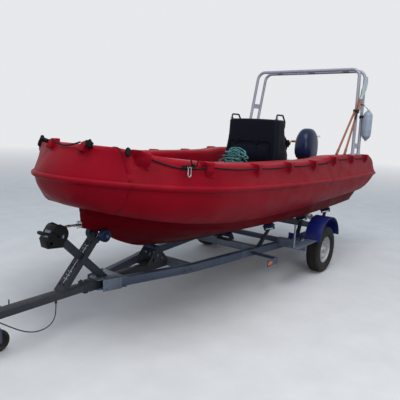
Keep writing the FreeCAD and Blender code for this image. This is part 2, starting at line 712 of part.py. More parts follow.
def on_leg(foot_x, height, side):
    """The centre of a hoop's leg at a height."""
    foot, head = hoop_points(foot_x)[0], hoop_points(foot_x)[1]
    share = (height - foot[2]) / (head[2] - foot[2])
    return (foot[0] + share * (head[0] - foot[0]), side * (foot[1] + share * (head[1] - foot[1])), height)


def arch():
    """Two hoops of tube on shared foot plates, tied by plates up the legs and along the top."""
    front_x, rear_x = mm("arch_foot_x"), mm("arch_foot_x") - mm("arch_gap")
    parts = [tube(hoop_points(x), mm("arch_tube"), mm("arch_bend")) for x in (front_x, rear_x)]
    wide, thick = mm("foot_width"), mm("arch_plate_thick")
    for side in (1, -1):
        for x in (front_x, rear_x):
            parts.append(Part.makeCylinder(wide / 2, mm("foot_thick") + 3,
                                           Vector(x, side * hoop_points(x)[0][1], gunwale(x) + 0.5)))
        for height in (1520, 2040):
            start, end = on_leg(rear_x, height, side), on_leg(front_x, height, side)
            tie = Part.makeBox(end[0] - start[0], thick, 70, Vector(start[0], start[1] - thick / 2, height))
            parts.append(tie)
    head = mm("arch_top") - mm("arch_tube")
    for y in (-520, 0, 520):
        start = rear_x - mm("arch_lean")
        tie = Part.makeBox(mm("arch_gap"), 90, thick, Vector(start, y - 45, head - thick / 2))
        for x in (80, 152):
            tie = tie.cut(Part.makeCylinder(5, 4 * thick, Vector(start + x, y, head - 2 * thick)))
        parts.append(tie)
    return parts[0].fuse(parts[1:])


node("arch", solid(arch()))


def fender_place():
    """The middle of the fender, beside the rear hoop's port leg."""
    x, y, z = on_leg(mm("arch_foot_x") - mm("arch_gap"), mm("fender_height"), 1)
    return x + 40, y + mm("arch_tube") + mm("fender_radius") + 16, z


def fender():
    """A hanging fender with rounded ends and an eye at each end."""
    x, y, z = fender_place()
    radius, half = mm("fender_radius"), mm("fender_length") / 2
    body = Part.makeCylinder(radius, 2 * half, Vector(x, y, z - half))
    ends = []
    for way in (1, -1):
        cone = Part.makeCone(radius, 30, 42, Vector(x, y, z + way * half), Vector(0, 0, way))
        tip = Part.makeCylinder(17, 26, Vector(x, y, z + way * (half + 42)), Vector(0, 0, way))
        hole = Part.makeCylinder(7, 60, Vector(x - 30, y, z + way * (half + 54)), Vector(1, 0, 0))
        ends += [cone, tip.cut(hole)]
    return body.fuse(ends)


def paddle(number):
    """One paddle: its grip on the gunwale, its blade up beside the front hoop."""
    foot_x = mm("paddle_foot_x") - number * mm("paddle_pitch")
    y = mm("half_beam") - mm("paddle_inset") + number * mm("paddle_layer")
    foot = Vector(foot_x, y, gunwale(foot_x) + mm("paddle_radius") + 4)
    top = Vector(foot_x - mm("paddle_lean") + number * mm("paddle_spread"), y, mm("paddle_neck"))
    along = top - foot
    reach = along.Length
    along.normalize()
    grip = Part.makeCylinder(mm("paddle_radius") + 3, 90, Vector(0, 0, -6))
    shaft = Part.makeCylinder(mm("paddle_radius"), reach, Vector())
    half, length = mm("blade_width") / 2, mm("blade_length")
    outline = Part.Wire([
        line((-16, 0, reach - 30), (16, 0, reach - 30)), line((16, 0, reach - 30), (half, 0, reach + 90)),
        line((half, 0, reach + 90), (half, 0, reach + length - half)),
        arc((half, 0, reach + length - half), (0, 0, reach + length), (-half, 0, reach + length - half)),
        line((-half, 0, reach + length - half), (-half, 0, reach + 90)),
        line((-half, 0, reach + 90), (-16, 0, reach - 30))])
    blade = Part.Face(outline).extrude(Vector(0, mm("blade_thick"), 0))
    blade.translate(Vector(0, -mm("blade_thick") / 2, 0))
    shape = shaft.fuse([grip, blade])
    turn = math.degrees(math.atan2(along.x, along.z))
    shape.rotate(Vector(), Vector(0, 1, 0), turn)
    shape.translate(foot)
    return shape


def band(x0, x1, y0, y1, height):
    """A webbing strap pulled tight round a stretch of the arch and what is lashed to it."""
    thick, wide = mm("strap_thick"), mm("strap_width")
    outer = Part.makeBox(x1 - x0, y1 - y0, wide, Vector(x0, y0, height))
    inner = Part.makeBox(x1 - x0 - 2 * thick, y1 - y0 - 2 * thick, 3 * wide,
                         Vector(x0 + thick, y0 + thick, height - wide))
    return outer.cut(inner)


def straps():
    """One strap round the paddles and the front hoop, one round the fender and the rear hoop."""
    slack = mm("arch_tube") + mm("strap_thick") + 4
    foot = gunwale(mm("paddle_foot_x")) + mm("paddle_radius")
    share = (mm("paddle_strap") - foot) / (mm("paddle_neck") - foot)
    ahead = mm("paddle_foot_x") - share * mm("paddle_lean") + 2 * mm("paddle_radius")
    front = on_leg(mm("arch_foot_x"), mm("paddle_strap"), 1)
    outer = mm("half_beam") - mm("paddle_inset") + mm("paddle_layer") + mm("paddle_radius")
    outer += mm("strap_thick") + 2
    rear = on_leg(mm("arch_foot_x") - mm("arch_gap"), mm("fender_strap"), 1)
    x, y = fender_place()[:2]
    reach = mm("fender_radius") + mm("strap_thick") + 2
    return Part.Compound([
        band(front[0] - slack - 6, ahead, front[1] - slack, outer, mm("paddle_strap")),
        band(rear[0] - slack - 6, x + reach, rear[1] - slack, y + reach, mm("fender_strap"))])


def rope_heap():
    """The outer form of the heap of mooring rope on the seat locker."""
    x, y, z = mm("heap_x"), mm("heap_y"), mm("locker_height") + 1
    half_x, half_y, rise = mm("heap_half_x"), mm("heap_half_y"), mm("heap_rise")
    # Columns: share of the height, share of the widths.
    levels = [(0, 0.96), (0.18, 1), (0.5, 0.9), (0.8, 0.6), (1, 0.3)]
    shape = loft([rounded(-share * half_x, share * half_x, share * half_y, up * rise, share * half_x * 0.8)
                  for up, share in levels])
    shape.translate(Vector(x, y, z))
    return shape


node("fender", solid(fender()))
node("paddles", solid(Part.Compound([paddle(0), paddle(1)])))
node("lashing_straps", solid(straps()))
node("mooring_rope", solid(rope_heap()))


# Outboard engine
def motor_clamp():
    """Two cheeks hooked over the transom, their screws, the tilt tube and a cross bar."""
    half, thick = mm("clamp_half"), mm("clamp_thick")
    back, top = mm("well_x"), mm("transom_height")
    board = back + mm("transom_thick")
    tilt_x, tilt_z = mm("tilt_x"), mm("tilt_height")
    foot = top - mm("clamp_drop")
    parts = []
    for side in (1, -1):
        y = side * half - (thick if side > 0 else 0)
        corners = [(back, foot), (back, top), (board, top), (board, top - 110), (board + 26, top - 120),
                   (board + 38, top + 20), (tilt_x + 26, tilt_z + 26), (tilt_x - 28, tilt_z + 28),
                   (back - 40, top + 10), (back - 52, top - 60), (back - 30, foot)]
        cheek = Part.Face(polygon([(x, y, z) for x, z in corners])).extrude(Vector(0, thick, 0))
        middle = y + thick / 2
        screw = Part.makeCylinder(6, 40, Vector(board + 20, middle, top - 70), Vector(1, 0, 0))
        tommy = Part.makeCylinder(4, 80, Vector(board + 56, middle, top - 110))
        parts += [cheek, screw, tommy]
    pin = Part.makeCylinder(mm("tilt_radius"), 2 * half, Vector(tilt_x, -half, tilt_z), Vector(0, 1, 0))
    bar = Part.makeBox(28, 2 * half - thick, 40, Vector(back - 28, -half + thick / 2, foot))
    return pin.fuse(parts + [bar])


def motor_swivel():
    """The swivel bracket: it hangs on the tilt tube and carries the steering shaft."""
    tilt_x, tilt_z, steer, half = mm("tilt_x"), mm("tilt_height"), mm("steer_x"), mm("swivel_half")
    face, foot = mm("well_x") - 8, tilt_z - 300
    corners = [(tilt_x - 6, tilt_z + 26), (tilt_x - 6, tilt_z - 14), (face, tilt_z - 38),
               (face, tilt_z - 200), (steer + 40, foot), (steer, foot), (steer, tilt_z + 60),
               (steer + 40, tilt_z + 60)]
    body = Part.Face(polygon([(x, -half, z) for x, z in corners])).extrude(Vector(0, 2 * half, 0))
    sleeve = Part.makeCylinder(mm("tilt_radius") + 14, 2 * half, Vector(tilt_x, -half, tilt_z),
                               Vector(0, 1, 0))
    column = Part.makeCylinder(mm("steer_radius") + 14, tilt_z + 60 - foot, Vector(steer, 0, foot))
    hole = Part.makeCylinder(mm("tilt_radius") + mm("bearing_gap"), 4 * half,
                             Vector(tilt_x, -2 * half, tilt_z), Vector(0, 1, 0))
    bore = Part.makeCylinder(mm("steer_radius") + mm("bearing_gap"), 600, Vector(steer, 0, foot - 100))
    return body.fuse([sleeve, column]).cut(hole).cut(bore)


def motor_cowl():
    """The engine's cover."""
    x0, x1 = mm("cowl_x") - mm("cowl_length") / 2, mm("cowl_x") + mm("cowl_length") / 2
    half, foot, top = mm("cowl_width") / 2, mm("cowl_foot"), mm("cowl_top")
    # Columns: share of the height, inset aft, inset ahead, inset at the side, corner radius.
    levels = [(0, 30, 34, 20, 60), (0.12, 0, 4, 0, 80), (0.55, 0, 0, 0, 90), (0.86, 26, 22, 16, 90),
              (0.97, 66, 60, 44, 70), (1, 110, 100, 74, 50)]
    return loft([rounded(x0 + aft, x1 - ahead, half - side, foot + share * (top - foot), corner)
                 for share, aft, ahead, side, corner in levels])


def motor_leg():
    """Below the cover: pan, steering shaft, leg, plate, gearcase, skeg and propeller shaft."""
    steer, foot = mm("steer_x"), mm("cowl_foot")
    plate_z, prop_z, gear = mm("plate_height"), mm("prop_height"), mm("gear_radius")
    pan = loft([rounded(steer - 190, steer + 60, 74, foot - 62, 60),
                rounded(steer - 235, steer + 120, 112, foot, 70)])
    # Columns: height, aft edge, front edge, half width.
    strut = [(prop_z, -175, -25, 14), (plate_z - 110, -185, -42, 20), (plate_z, -190, -26, 28),
             (plate_z + 230, -185, -62, 34), (foot - 40, -185, -62, 44)]
    strut = loft([rounded(steer + aft, steer + ahead, half, height, min(half, 30) - 1)
                  for height, aft, ahead, half in strut])
    shaft = Part.makeCylinder(mm("steer_radius"), foot - plate_z - 200, Vector(steer, 0, plate_z + 190))
    yoke = Part.makeBox(180, 70, 44, Vector(steer - 150, -35, plate_z + 186))
    flat = Part.makeBox(330, 190, 8, Vector(steer - 290, -95, plate_z))
    aft_x = steer - mm("gear_aft")
    case = Part.makeCylinder(gear, mm("gear_length"), Vector(aft_x, 0, prop_z), Vector(1, 0, 0))
    bullet = Part.makeCone(gear, gear * 0.3, 2 * gear, Vector(aft_x + mm("gear_length"), 0, prop_z),
                           Vector(1, 0, 0))
    axle = Part.makeCylinder(mm("prop_shaft"), mm("prop_length") + 20,
                             Vector(aft_x - mm("prop_length") - 15, 0, prop_z), Vector(1, 0, 0))
    skeg = polygon([(steer - 160, -5, prop_z), (steer + 10, -5, prop_z),
                    (steer - 70, -5, mm("skeg_foot")), (steer - 130, -5, mm("skeg_foot"))])
    skeg = Part.Face(skeg).extrude(Vector(0, 10, 0))
    return pan.fuse([strut, shaft, yoke, flat, case, bullet, axle, skeg])


def propeller():
    """A hub with three pitched blades."""
    length, hub_r, prop_r = mm("prop_length"), mm("prop_hub"), mm("prop_radius")
    x, z = mm("steer_x") - mm("gear_aft") - length - 5, mm("prop_height")
    hub = Part.makeCone(hub_r * 0.8, hub_r, length, Vector(x, 0, z), Vector(1, 0, 0))
    blades = []
    for k in range(3):
        outline = Part.Wire([
            line((0, -24, hub_r / 2), (0, 24, hub_r / 2)), line((0, 24, hub_r / 2), (0, 52, prop_r * 0.62)),
            arc((0, 52, prop_r * 0.62), (0, 0, prop_r), (0, -52, prop_r * 0.62)),
            line((0, -52, prop_r * 0.62), (0, -24, hub_r / 2))])
        blade = Part.Face(outline).extrude(Vector(7, 0, 0))
        blade.translate(Vector(-3.5, 0, 0))
        blade.rotate(Vector(), Vector(0, 0, 1), mm("blade_pitch"))
        blade.rotate(Vector(), Vector(1, 0, 0), 120 * k)
        blade.translate(Vector(x + length / 2, 0, z))
        blades.append(blade)
    bore = Part.makeCylinder(mm("prop_shaft") + mm("bearing_gap"), 2 * length,
                             Vector(x - length / 2, 0, z), Vector(1, 0, 0))
    return hub.fuse(blades).cut(bore)


node("motor_clamp", solid(motor_clamp()))
node("motor_swivel", solid(motor_swivel()))
node("motor_cowl", solid(motor_cowl()))
node("motor_leg", solid(motor_leg()))
node("propeller", solid(propeller()))

# Trailer frame
BEAM_FOOT = "frame_height - beam_depth / 2"
PLUG_Y = "drawbar_width / 2 + plug_radius + 3"
drawbar = box("sleeve_front - 10", "-drawbar_width / 2", "frame_height - drawbar_depth / 2",
              "drawbar_front - sleeve_front + 10", "drawbar_width", "drawbar_depth")
sleeve = box("junction_x - 60", "-drawbar_width / 2", BEAM_FOOT, "sleeve_front - junction_x + 60",
             "drawbar_width", "beam_depth")
spine = box("rail_bend_x + beam_width / 2", "-beam_width / 2", BEAM_FOOT,
            "junction_x - 60 - rail_bend_x - beam_width / 2", "beam_width", "beam_depth")
gland = rod("gland_x", "gland_y", f"{BEAM_FOOT} - gland_length", "gland_radius",
            "gland_length + (beam_depth - drawbar_depth) / 2 + 5")
socket = rod("plug_x + plug_length", PLUG_Y, "frame_height", "plug_radius + 5", "socket_length", "x")
node("drawbar", fuse(drawbar, sleeve, spine, gland, socket))


def rail_centre(x):
    """How far out the middle of a side rail lies at x."""
    bends = [(mm("rail_wide_x"), mm("rail_half")), (mm("rail_bend_x"), mm("rail_bend_y")),
             (mm("junction_x"), mm("rail_nose_y"))]
    if x <= bends[0][0]:
        return bends[0][1]
    low, high = bends[:2] if x <= bends[1][0] else bends[1:]
    return low[1] + (x - low[0]) / (high[0] - low[0]) * (high[1] - low[1])


def rail_edge(way):
    """One long edge of the port rail: way 1 for its outer edge, -1 for its inner edge."""
    middle = [(x, rail_centre(x)) for x in (mm("junction_x"), mm("rail_bend_x"), mm("rail_wide_x"),
                                            mm("frame_aft_x"))]
    normals = []
    for (x0, y0), (x1, y1) in zip(middle, middle[1:]):
        reach = math.hypot(x1 - x0, y1 - y0)
        normals.append(((y1 - y0) / reach, (x0 - x1) / reach))
    edge = []
    for (x, y), before, after in zip(middle, normals[:1] + normals, normals + normals[-1:]):
        share = 1 + before[0] * after[0] + before[1] * after[1]
        offset = way * mm("beam_width") / 2 / share
        edge.append((x + offset * (before[0] + after[0]), y + offset * (before[1] + after[1])))
    return edge


def side_rail():
    """The port rail: in at the front, out along the middle and straight at the rear."""
    low = mm("frame_height") - mm("beam_depth") / 2
    strip = polygon([(x, y, low) for x, y in rail_edge(1) + rail_edge(-1)[::-1]])
    rail = Part.Face(strip).extrude(Vector(0, 0, mm("beam_depth")))
    turn = math.degrees(math.atan2(mm("rail_bend_y") - mm("rail_nose_y"), mm("junction_x") - mm("rail_bend_x")))
    sleeves = []
    for x, length, wall in ((mm("rail_bend_x") + 90, 70, 5), (mm("junction_x") - 70, 130, 4)):
        wide, deep = mm("beam_width") + 2 * wall, mm("beam_depth")
        sleeve = Part.makeBox(length, wide, deep, Vector(-length / 2, -wide / 2, -deep / 2))
        sleeve.rotate(Vector(), Vector(0, 0, 1), -turn)
        sleeve.translate(Vector(x, rail_centre(x), mm("frame_height")))
        sleeves.append(sleeve)
    return rail.fuse(sleeves)


def both(shape):
    """A shape drawn on the port side, with its mirror image."""
    return Part.Compound([shape, shape.mirror(Vector(), Vector(0, 1, 0))])


def outer_part(shape, tool):
    """What is left of a shape outside a tool, on its port side."""
    return max(shape.cut(tool).Solids, key=lambda piece: piece.CenterOfMass.y)


port_rail = side_rail()
port_rail = port_rail.cut(Part.makeBox(600, mm("drawbar_width") / 2 + 1, 400,
                                       Vector(mm("junction_x") - 300, 0, 200)))
node("side_rails", solid(both(port_rail)))


def cross_members():
    """The cross bars between the rails, and the plates over and under the junction."""
    parts = []
    half, low = mm("beam_width") / 2, mm("frame_height") - mm("beam_depth") / 2
    for x in (mm("rear_bar_x"), mm("middle_bar_x"), mm("rail_bend_x")):
        aft, ahead = (rail_centre(end) + half for end in (x - half, x + half))
        ends = polygon([(x - half, aft, low), (x + half, ahead, low), (x + half, -ahead, low),
                        (x - half, -aft, low)])
        bar = Part.Face(ends).extrude(Vector(0, 0, mm("beam_depth")))
        parts.append(bar.cut(both(port_rail)).Solids)
    bars = [max(pieces, key=lambda piece: piece.Volume) for pieces in parts]
    junction_x, plates = mm("junction_x"), []
    for z in (mm("frame_height") + mm("beam_depth") / 2, low - mm("web_thick")):
        web = polygon([(junction_x - 170, 170, z), (junction_x + 70, 60, z), (junction_x + 70, -60, z),
                       (junction_x - 170, -170, z)])
        plates.append(Part.Face(web).extrude(Vector(0, 0, mm("web_thick"))))
    return Part.Compound(bars + plates)


def axle():
    """The axle beam under the rails, with the stub shafts and nuts that hold the wheels."""
    beam, low = mm("axle_beam"), mm("frame_height") - mm("beam_depth") / 2
    x, z, out = mm("axle_x"), mm("tyre_radius"), mm("track_half") + mm("hub_face")
    half = mm("guard_inner_y") - 40
    bar = Part.makeBox(beam, 2 * half, beam, Vector(x - beam / 2, -half, low - beam))
    parts = []
    for side in (1, -1):
        along = Vector(0, side, 0)
        parts.append(Part.makeCylinder(mm("stub_radius"), out - half + 40, Vector(x, side * (half - 30), z),
                                       along))
        parts.append(Part.makeCylinder(mm("stub_radius") + 9, 12, Vector(x, side * (out + 0.5), z), along))
    return bar.fuse(parts)


node("cross_members", solid(cross_members()))
node("axle", solid(axle()))


def wheel(side):
    """Tyre and rim of one wheel, each turned about the stub shaft."""
    wide, out, bead = mm("tyre_width") / 2, mm("tyre_radius"), mm("rim_radius")
    bore, hub, wall = mm("stub_radius") + mm("bearing_gap"), mm("hub_radius"), mm("rim_thick")
    seat, face = wide * 0.72, mm("hub_face")
    # Profiles. Columns: distance out from the wheel's middle plane, radius.
    tyre = [(-seat, bead), (-wide, bead + 40), (-wide, out - 40), (14 - wide, out - 14), (-wide * 0.62, out),
            (wide * 0.62, out), (wide - 14, out - 14), (wide, out - 40), (wide, bead + 40), (seat, bead)]
    rim = [(-seat, bead), (-seat, bead - wall), (20, bead - wall - 8), (26, 96), (6, hub + 20), (-34, hub),
           (-34, bore), (face, bore), (face, hub - 8), (16, hub + 20), (38, 100), (seat, bead - wall),
           (seat, bead)]
    pieces = []
    for profile in (tyre, rim):
        face_of = Part.Face(polygon([(0, side * y, r) for y, r in profile]))
        piece = face_of.revolve(Vector(), Vector(0, 1, 0), 360)
        piece.translate(Vector(mm("axle_x"), side * mm("track_half"), out))
        pieces.append(piece)
    return pieces


for side, word in ((1, "port"), (-1, "starboard")):
    for part, shape in zip(("tyre", "rim"), wheel(side)):
        node(f"{part}_{word}", solid(shape))


def mudguard():
    """The port mudguard: a rolled shell over the wheel, on two stays from the rail."""
    y, radius, thick, width = (mm(name) for name in ("guard_inner_y", "guard_radius", "guard_thick",
                                                     "guard_width"))
    x, z = mm("axle_x"), mm("guard_height")
    shell = Part.makeCylinder(radius, width, Vector(x, y, z), Vector(0, 1, 0))
    shell = shell.cut(Part.makeCylinder(radius - thick, width, Vector(x, y, z), Vector(0, 1, 0)))
    below = Part.makeBox(3 * radius, 2 * width, 2 * radius,
                         Vector(x - 1.5 * radius, y - width / 2, mm("guard_end") - 2 * radius))
    parts = []
    for way in (1, -1):
        height = mm("guard_end") + 30
        span = math.sqrt((radius - thick) ** 2 - (height - z) ** 2)
        stay_x = x + way * (span - 3) - 4
        rail = rail_centre(stay_x) + mm("beam_width") / 2
        stay = Part.makeBox(8, y + 30 - rail + 10, 40, Vector(stay_x, rail - 10, height - 20))
        down = Part.makeBox(8, 54, 124, Vector(stay_x, rail - 10, height - 104))
        parts += [outer_part(stay.fuse(down), port_rail)]
    return shell.cut(below).fuse(parts)


def foot_plate():
    """A tread plate ahead of the port wheel, with its arm and a guide post."""
    x, y, z = mm("step_x"), mm("step_y"), mm("step_height")
    length, width = mm("step_length"), mm("step_width")
    tread = Part.makeBox(length, width, 5, Vector(x, y, z))
    rail = rail_centre(x + 130) + mm("beam_width") / 2
    low = mm("frame_height")
    arm = Part.makeBox(50, y + width / 2 - rail + 20, z - low, Vector(x + 130, rail - 20, low))
    post = Part.makeCylinder(11, mm("guide_post"), Vector(x + length - 30, y + width / 2, z + 5))
    return tread.fuse([outer_part(arm, port_rail), post])


def marker_bracket():
    """An angle bracket out from the port rail, with an upright plate for a reflector."""
    x, z, out = mm("marker_x"), mm("frame_height"), mm("marker_y")
    rail = rail_centre(x) + mm("beam_width") / 2
    arm = Part.makeBox(40, out - rail + 20, 5, Vector(x - 20, rail - 20, z + 10))
    rib = Part.makeBox(5, out - rail + 20, 30, Vector(x - 20, rail - 20, z - 20))
    plate_shape = Part.makeBox(mm("marker_length"), 5, mm("marker_depth"),
                               Vector(x - 40, out - 5, z + 15 - mm("marker_depth")))
    return outer_part(arm.fuse([rib, plate_shape]), port_rail)


def reflector():
    """The oblong reflector on the port bracket."""
    depth = mm("reflector_depth")
    z = mm("frame_height") + 15 - mm("marker_depth") / 2 - depth / 2
    return Part.makeBox(mm("reflector_length"), 8, depth,
                        Vector(mm("marker_x") - 40 + mm("marker_length") - mm("reflector_length") - 8,
                               mm("marker_y"), z))


node("mudguards", solid(both(mudguard())))
node("foot_plates", solid(both(foot_plate())))
node("marker_brackets", solid(both(marker_bracket())))
node("side_reflectors", solid(both(reflector())))


def coupling():
    """The ball coupling: socket head, neck, and the lever that locks it."""
    half, deep = mm("coupling_width") / 2, mm("coupling_height") / 2
    aft, front, z = mm("drawbar_front"), mm("coupling_front"), mm("frame_height")
    # Columns: x, half width, reach down, reach up.
    sections = [(aft, half + 6, deep + 4, deep + 6), (aft + 70, half, deep, deep),
                (front - 60, half - 2, 34, 36), (front, half - 14, 30, 22)]
    neck = loft([polygon([(x, -wide, z - down), (x, wide, z - down), (x, wide, z + up), (x, -wide, z + up)])
                 for x, wide, down, up in sections])
    ball = Part.makeSphere(mm("ball_radius"), Vector(mm("ball_x"), 0, z - 22))
    mouth = Part.makeCylinder(mm("ball_radius"), 60, Vector(mm("ball_x"), 0, z - 82))
    lever = tube([(aft + 60, 0, z + 30), (aft + 20, 0, z + 92), (aft - 110, 0, z + 100)], 9, 30)
    return neck.fuse(lever).cut(ball).cut(mouth)


def leaning(foot_x, foot_z, head_x, head_z, thick, width):
    """A bar in the middle plane, leaning from its foot to its head."""
    run = math.hypot(head_x - foot_x, head_z - foot_z)
    side_x = (head_z - foot_z) / run * thick / 2
    side_z = (foot_x - head_x) / run * thick / 2
    corners = [(foot_x - side_x, foot_z - side_z), (head_x - side_x, head_z - side_z),
               (head_x + side_x, head_z + side_z), (foot_x + side_x, foot_z + side_z)]
    return Part.Face(polygon([(x, -width / 2, z) for x, z in corners])).extrude(Vector(0, width, 0))


def above(shape, height):
    """The part of a shape above a level."""
    return shape.cut(Part.makeBox(4000, 4000, 1000, Vector(mm("junction_x") - 2000, -2000, height - 1000)))


def bow_post_bar():
    foot = mm("frame_height") + mm("drawbar_depth") / 2
    bar = leaning(mm("cradle_foot_x") + 30, foot - 23, mm("cradle_head_x"), mm("cradle_head"),
                  mm("cradle_thick"), mm("cradle_width"))
    return above(bar, foot)


def bow_post():
    """The slotted channel that leans aft from the drawbar, and the fork and pin on its head."""
    slot = leaning(mm("cradle_foot_x") - 25, mm("frame_height") + mm("drawbar_depth") / 2 + 39,
                   mm("cradle_head_x") + 40, mm("cradle_head") - 46, 2 * mm("cradle_thick"),
                   mm("cradle_slot"))
    x, z, half = mm("bow_roller_x"), mm("bow_roller_height"), mm("cradle_width") / 2
    corners = [(x - 20, z - 4), (x - 12, z + 16), (x + 14, z + 20), (x + 50, z + 2), (x + 80, z - 50),
               (x + 44, z - 66)]
    ears = []
    for y in (-half, half - 8):
        ears.append(Part.Face(polygon([(a, y, b) for a, b in corners])).extrude(Vector(0, 8, 0)))
    out = mm("bow_roller_y") + mm("bow_roller_width") / 2 + 8
    pin = Part.makeCylinder(mm("spindle_radius"), 2 * out, Vector(x, -out, z), Vector(0, 1, 0))
    return bow_post_bar().cut(slot).fuse(ears + [pin])


def winch_post():
    """The square post that leans forward from the junction through the bow post to the winch."""
    web_top = mm("frame_height") + mm("beam_depth") / 2 + mm("web_thick")
    bar = leaning(mm("post_foot_x") - 40, web_top - 42, mm("post_head_x"), mm("post_head"),
                  mm("post_width"), mm("post_width"))
    return above(bar, web_top).cut(bow_post_bar())


def bow_rollers():
    """Two rollers side by side on the bow post's pin."""
    rollers = []
    width = mm("bow_roller_width")
    for y in (mm("bow_roller_y"), -mm("bow_roller_y")):
        start = Vector(mm("bow_roller_x"), y - width / 2, mm("bow_roller_height"))
        roller = Part.makeCylinder(mm("bow_roller_radius"), width, start, Vector(0, 1, 0))
        bore = Part.makeCylinder(mm("spindle_radius") + mm("bearing_gap"), width, start, Vector(0, 1, 0))
        rollers.append(roller.cut(bore))
    return Part.Compound(rollers)


node("coupling", solid(coupling()))
node("winch_post", solid(winch_post()))
node("bow_post", solid(bow_post()))
node("bow_rollers", solid(bow_rollers()))


def winch_frame():
    """The winch's two cheeks and the folded plates between them."""
    x, z, half = mm("winch_x"), mm("winch_height"), mm("winch_half")
    corners = [(x - 96, z - 92), (x - 50, z - 112), (x + 76, z - 96), (x + 100, z + 24),
               (x + 44, z + 100), (x - 60, z + 88), (x - 118, z - 10)]
    cheeks = []
    for y in (-half, half - 5):
        cheeks.append(Part.Face(polygon([(a, y, b) for a, b in corners])).extrude(Vector(0, 5, 0)))
    floor = [(x - 96, z - 92), (x - 50, z - 112), (x + 76, z - 96), (x + 75, z - 90),
             (x - 49, z - 106), (x - 93, z - 87)]
    floor = Part.Face(polygon([(a, -half, b) for a, b in floor])).extrude(Vector(0, 2 * half, 0))
    cover = [(x + 76, z - 96), (x + 100, z + 24), (x + 44, z + 100), (x + 41, z + 94), (x + 93, z + 23),
             (x + 71, z - 92)]
    cover = Part.Face(polygon([(a, -half, b) for a, b in cover])).extrude(Vector(0, 2 * half, 0))
    bore = Part.makeCylinder(mm("drum_shaft") + mm("bearing_gap"), 4 * half, Vector(x, -2 * half, z),
                             Vector(0, 1, 0))
    return cheeks[0].fuse([cheeks[1], floor, cover]).cut(bore).cut(winch_post())


def winch_drum():
    """The drum with the wound strap, its gear wheel, and the crank with its knob."""
    x, z, half = mm("winch_x"), mm("winch_height"), mm("winch_half") - 8
    parts = []
    for y in (-half, half - 5):
        parts.append(Part.makeCylinder(mm("drum_radius"), 5, Vector(x, y, z), Vector(0, 1, 0)))
    wound = Part.makeCylinder(mm("wound_radius"), 2 * half, Vector(x, -half, z), Vector(0, 1, 0))
    out = mm("winch_half") + 34
    shaft = Part.makeCylinder(mm("drum_shaft"), half + out + 14, Vector(x, -half - 14, z), Vector(0, 1, 0))
    reach = mm("crank_length")
    arm = Part.makeBox(reach + 24, 8, 26, Vector(-12, out - 10, -13))
    knob = Part.makeCylinder(16, 70, Vector(reach, out - 4, 0), Vector(0, 1, 0))
    crank = arm.fuse(knob)
    crank.rotate(Vector(), Vector(0, 1, 0), -mm("crank_angle"))
    crank.translate(Vector(x, 0, z))
    return wound.fuse(parts + [shaft, crank])


def winch_strap():
    """The taut strap from over the drum to the hook through the bow eye."""
    eye_x = mm("stem_x") + mm("eye_length") - mm("eye_hole_radius") - 12
    z = mm("bow_eye_height")
    half, gap = mm("strap_half"), mm("eye_thick") / 2 + 8
    pin = Part.makeCylinder(7, 2 * gap + 16, Vector(eye_x, -gap - 8, z), Vector(0, 1, 0))
    parts = []
    for y in (-gap - 6, gap):
        parts.append(Part.makeBox(76, 6, 16, Vector(eye_x - 8, y, z - 8)))
    head = Part.makeBox(14, 2 * half, 16, Vector(eye_x + 62, -half, z - 8))
    start = eye_x + 70
    thick = mm("strap_thick")
    webbing = Part.makeBox(mm("winch_x") - start, 2 * half, thick, Vector(start, -half, z - thick / 2))
    return pin.fuse(parts + [head, webbing])


node("winch_frame", solid(winch_frame()))
node("winch_drum", solid(winch_drum()))
node("winch_strap", solid(winch_strap()))


def bottom(x, y):
    """The height of the hull's bottom between keel and chine, and its rise with y."""
    for low, high in zip(HULL, HULL[1:]):
        if x <= high[0]:
            share = (x - low[0]) / (high[0] - low[0])
            chine, chine_z, keel = (low[i] + share * (high[i] - low[i]) for i in (2, 3, 4))
            return keel + (chine_z - keel) * y / chine, (chine_z - keel) / chine
    return HULL[-1][4], 0


def keel_roller(x, deck_z, foot_half):
    """A roller under the keel, with its two side plates and its pin."""
    radius, width = mm("keel_roller_radius"), mm("keel_roller_width")
    rise = (bottom(x + 50, 0)[0] - bottom(x - 50, 0)[0]) / 100
    z = bottom(x, 0)[0] - (radius + 1) * math.hypot(1, rise)
    start, along = Vector(x, -width / 2, z), Vector(0, 1, 0)
    roller = Part.makeCylinder(radius, width, start, along)
    roller = roller.cut(Part.makeCylinder(mm("spindle_radius") + mm("bearing_gap"), width, start, along))
    parts = []
    base = Part.makeBox(2 * foot_half, width + 14, 6, Vector(x - foot_half, -width / 2 - 7, deck_z))
    for y in (-width / 2 - 7, width / 2 + 1):
        cheek = polygon([(x - foot_half, y, deck_z), (x + foot_half, y, deck_z),
                         (x + foot_half, y, deck_z + 24), (x + 18, y, z + 16), (x - 18, y, z + 16),
                         (x - foot_half, y, deck_z + 24)])
        cheek = Part.Face(cheek).extrude(Vector(0, 6, 0))
        if foot_half > 100:
            for hole_x, hole_z in ((x - 60, deck_z + 42), (x + 60, deck_z + 42), (x, deck_z + 78)):
                cheek = cheek.cut(Part.makeCylinder(17, 20, Vector(hole_x, y - 5, hole_z), along))
        parts.append(cheek)
    pin = Part.makeCylinder(mm("spindle_radius"), width + 26, Vector(x, -width / 2 - 13, z), along)
    return roller, base.fuse(parts + [pin])


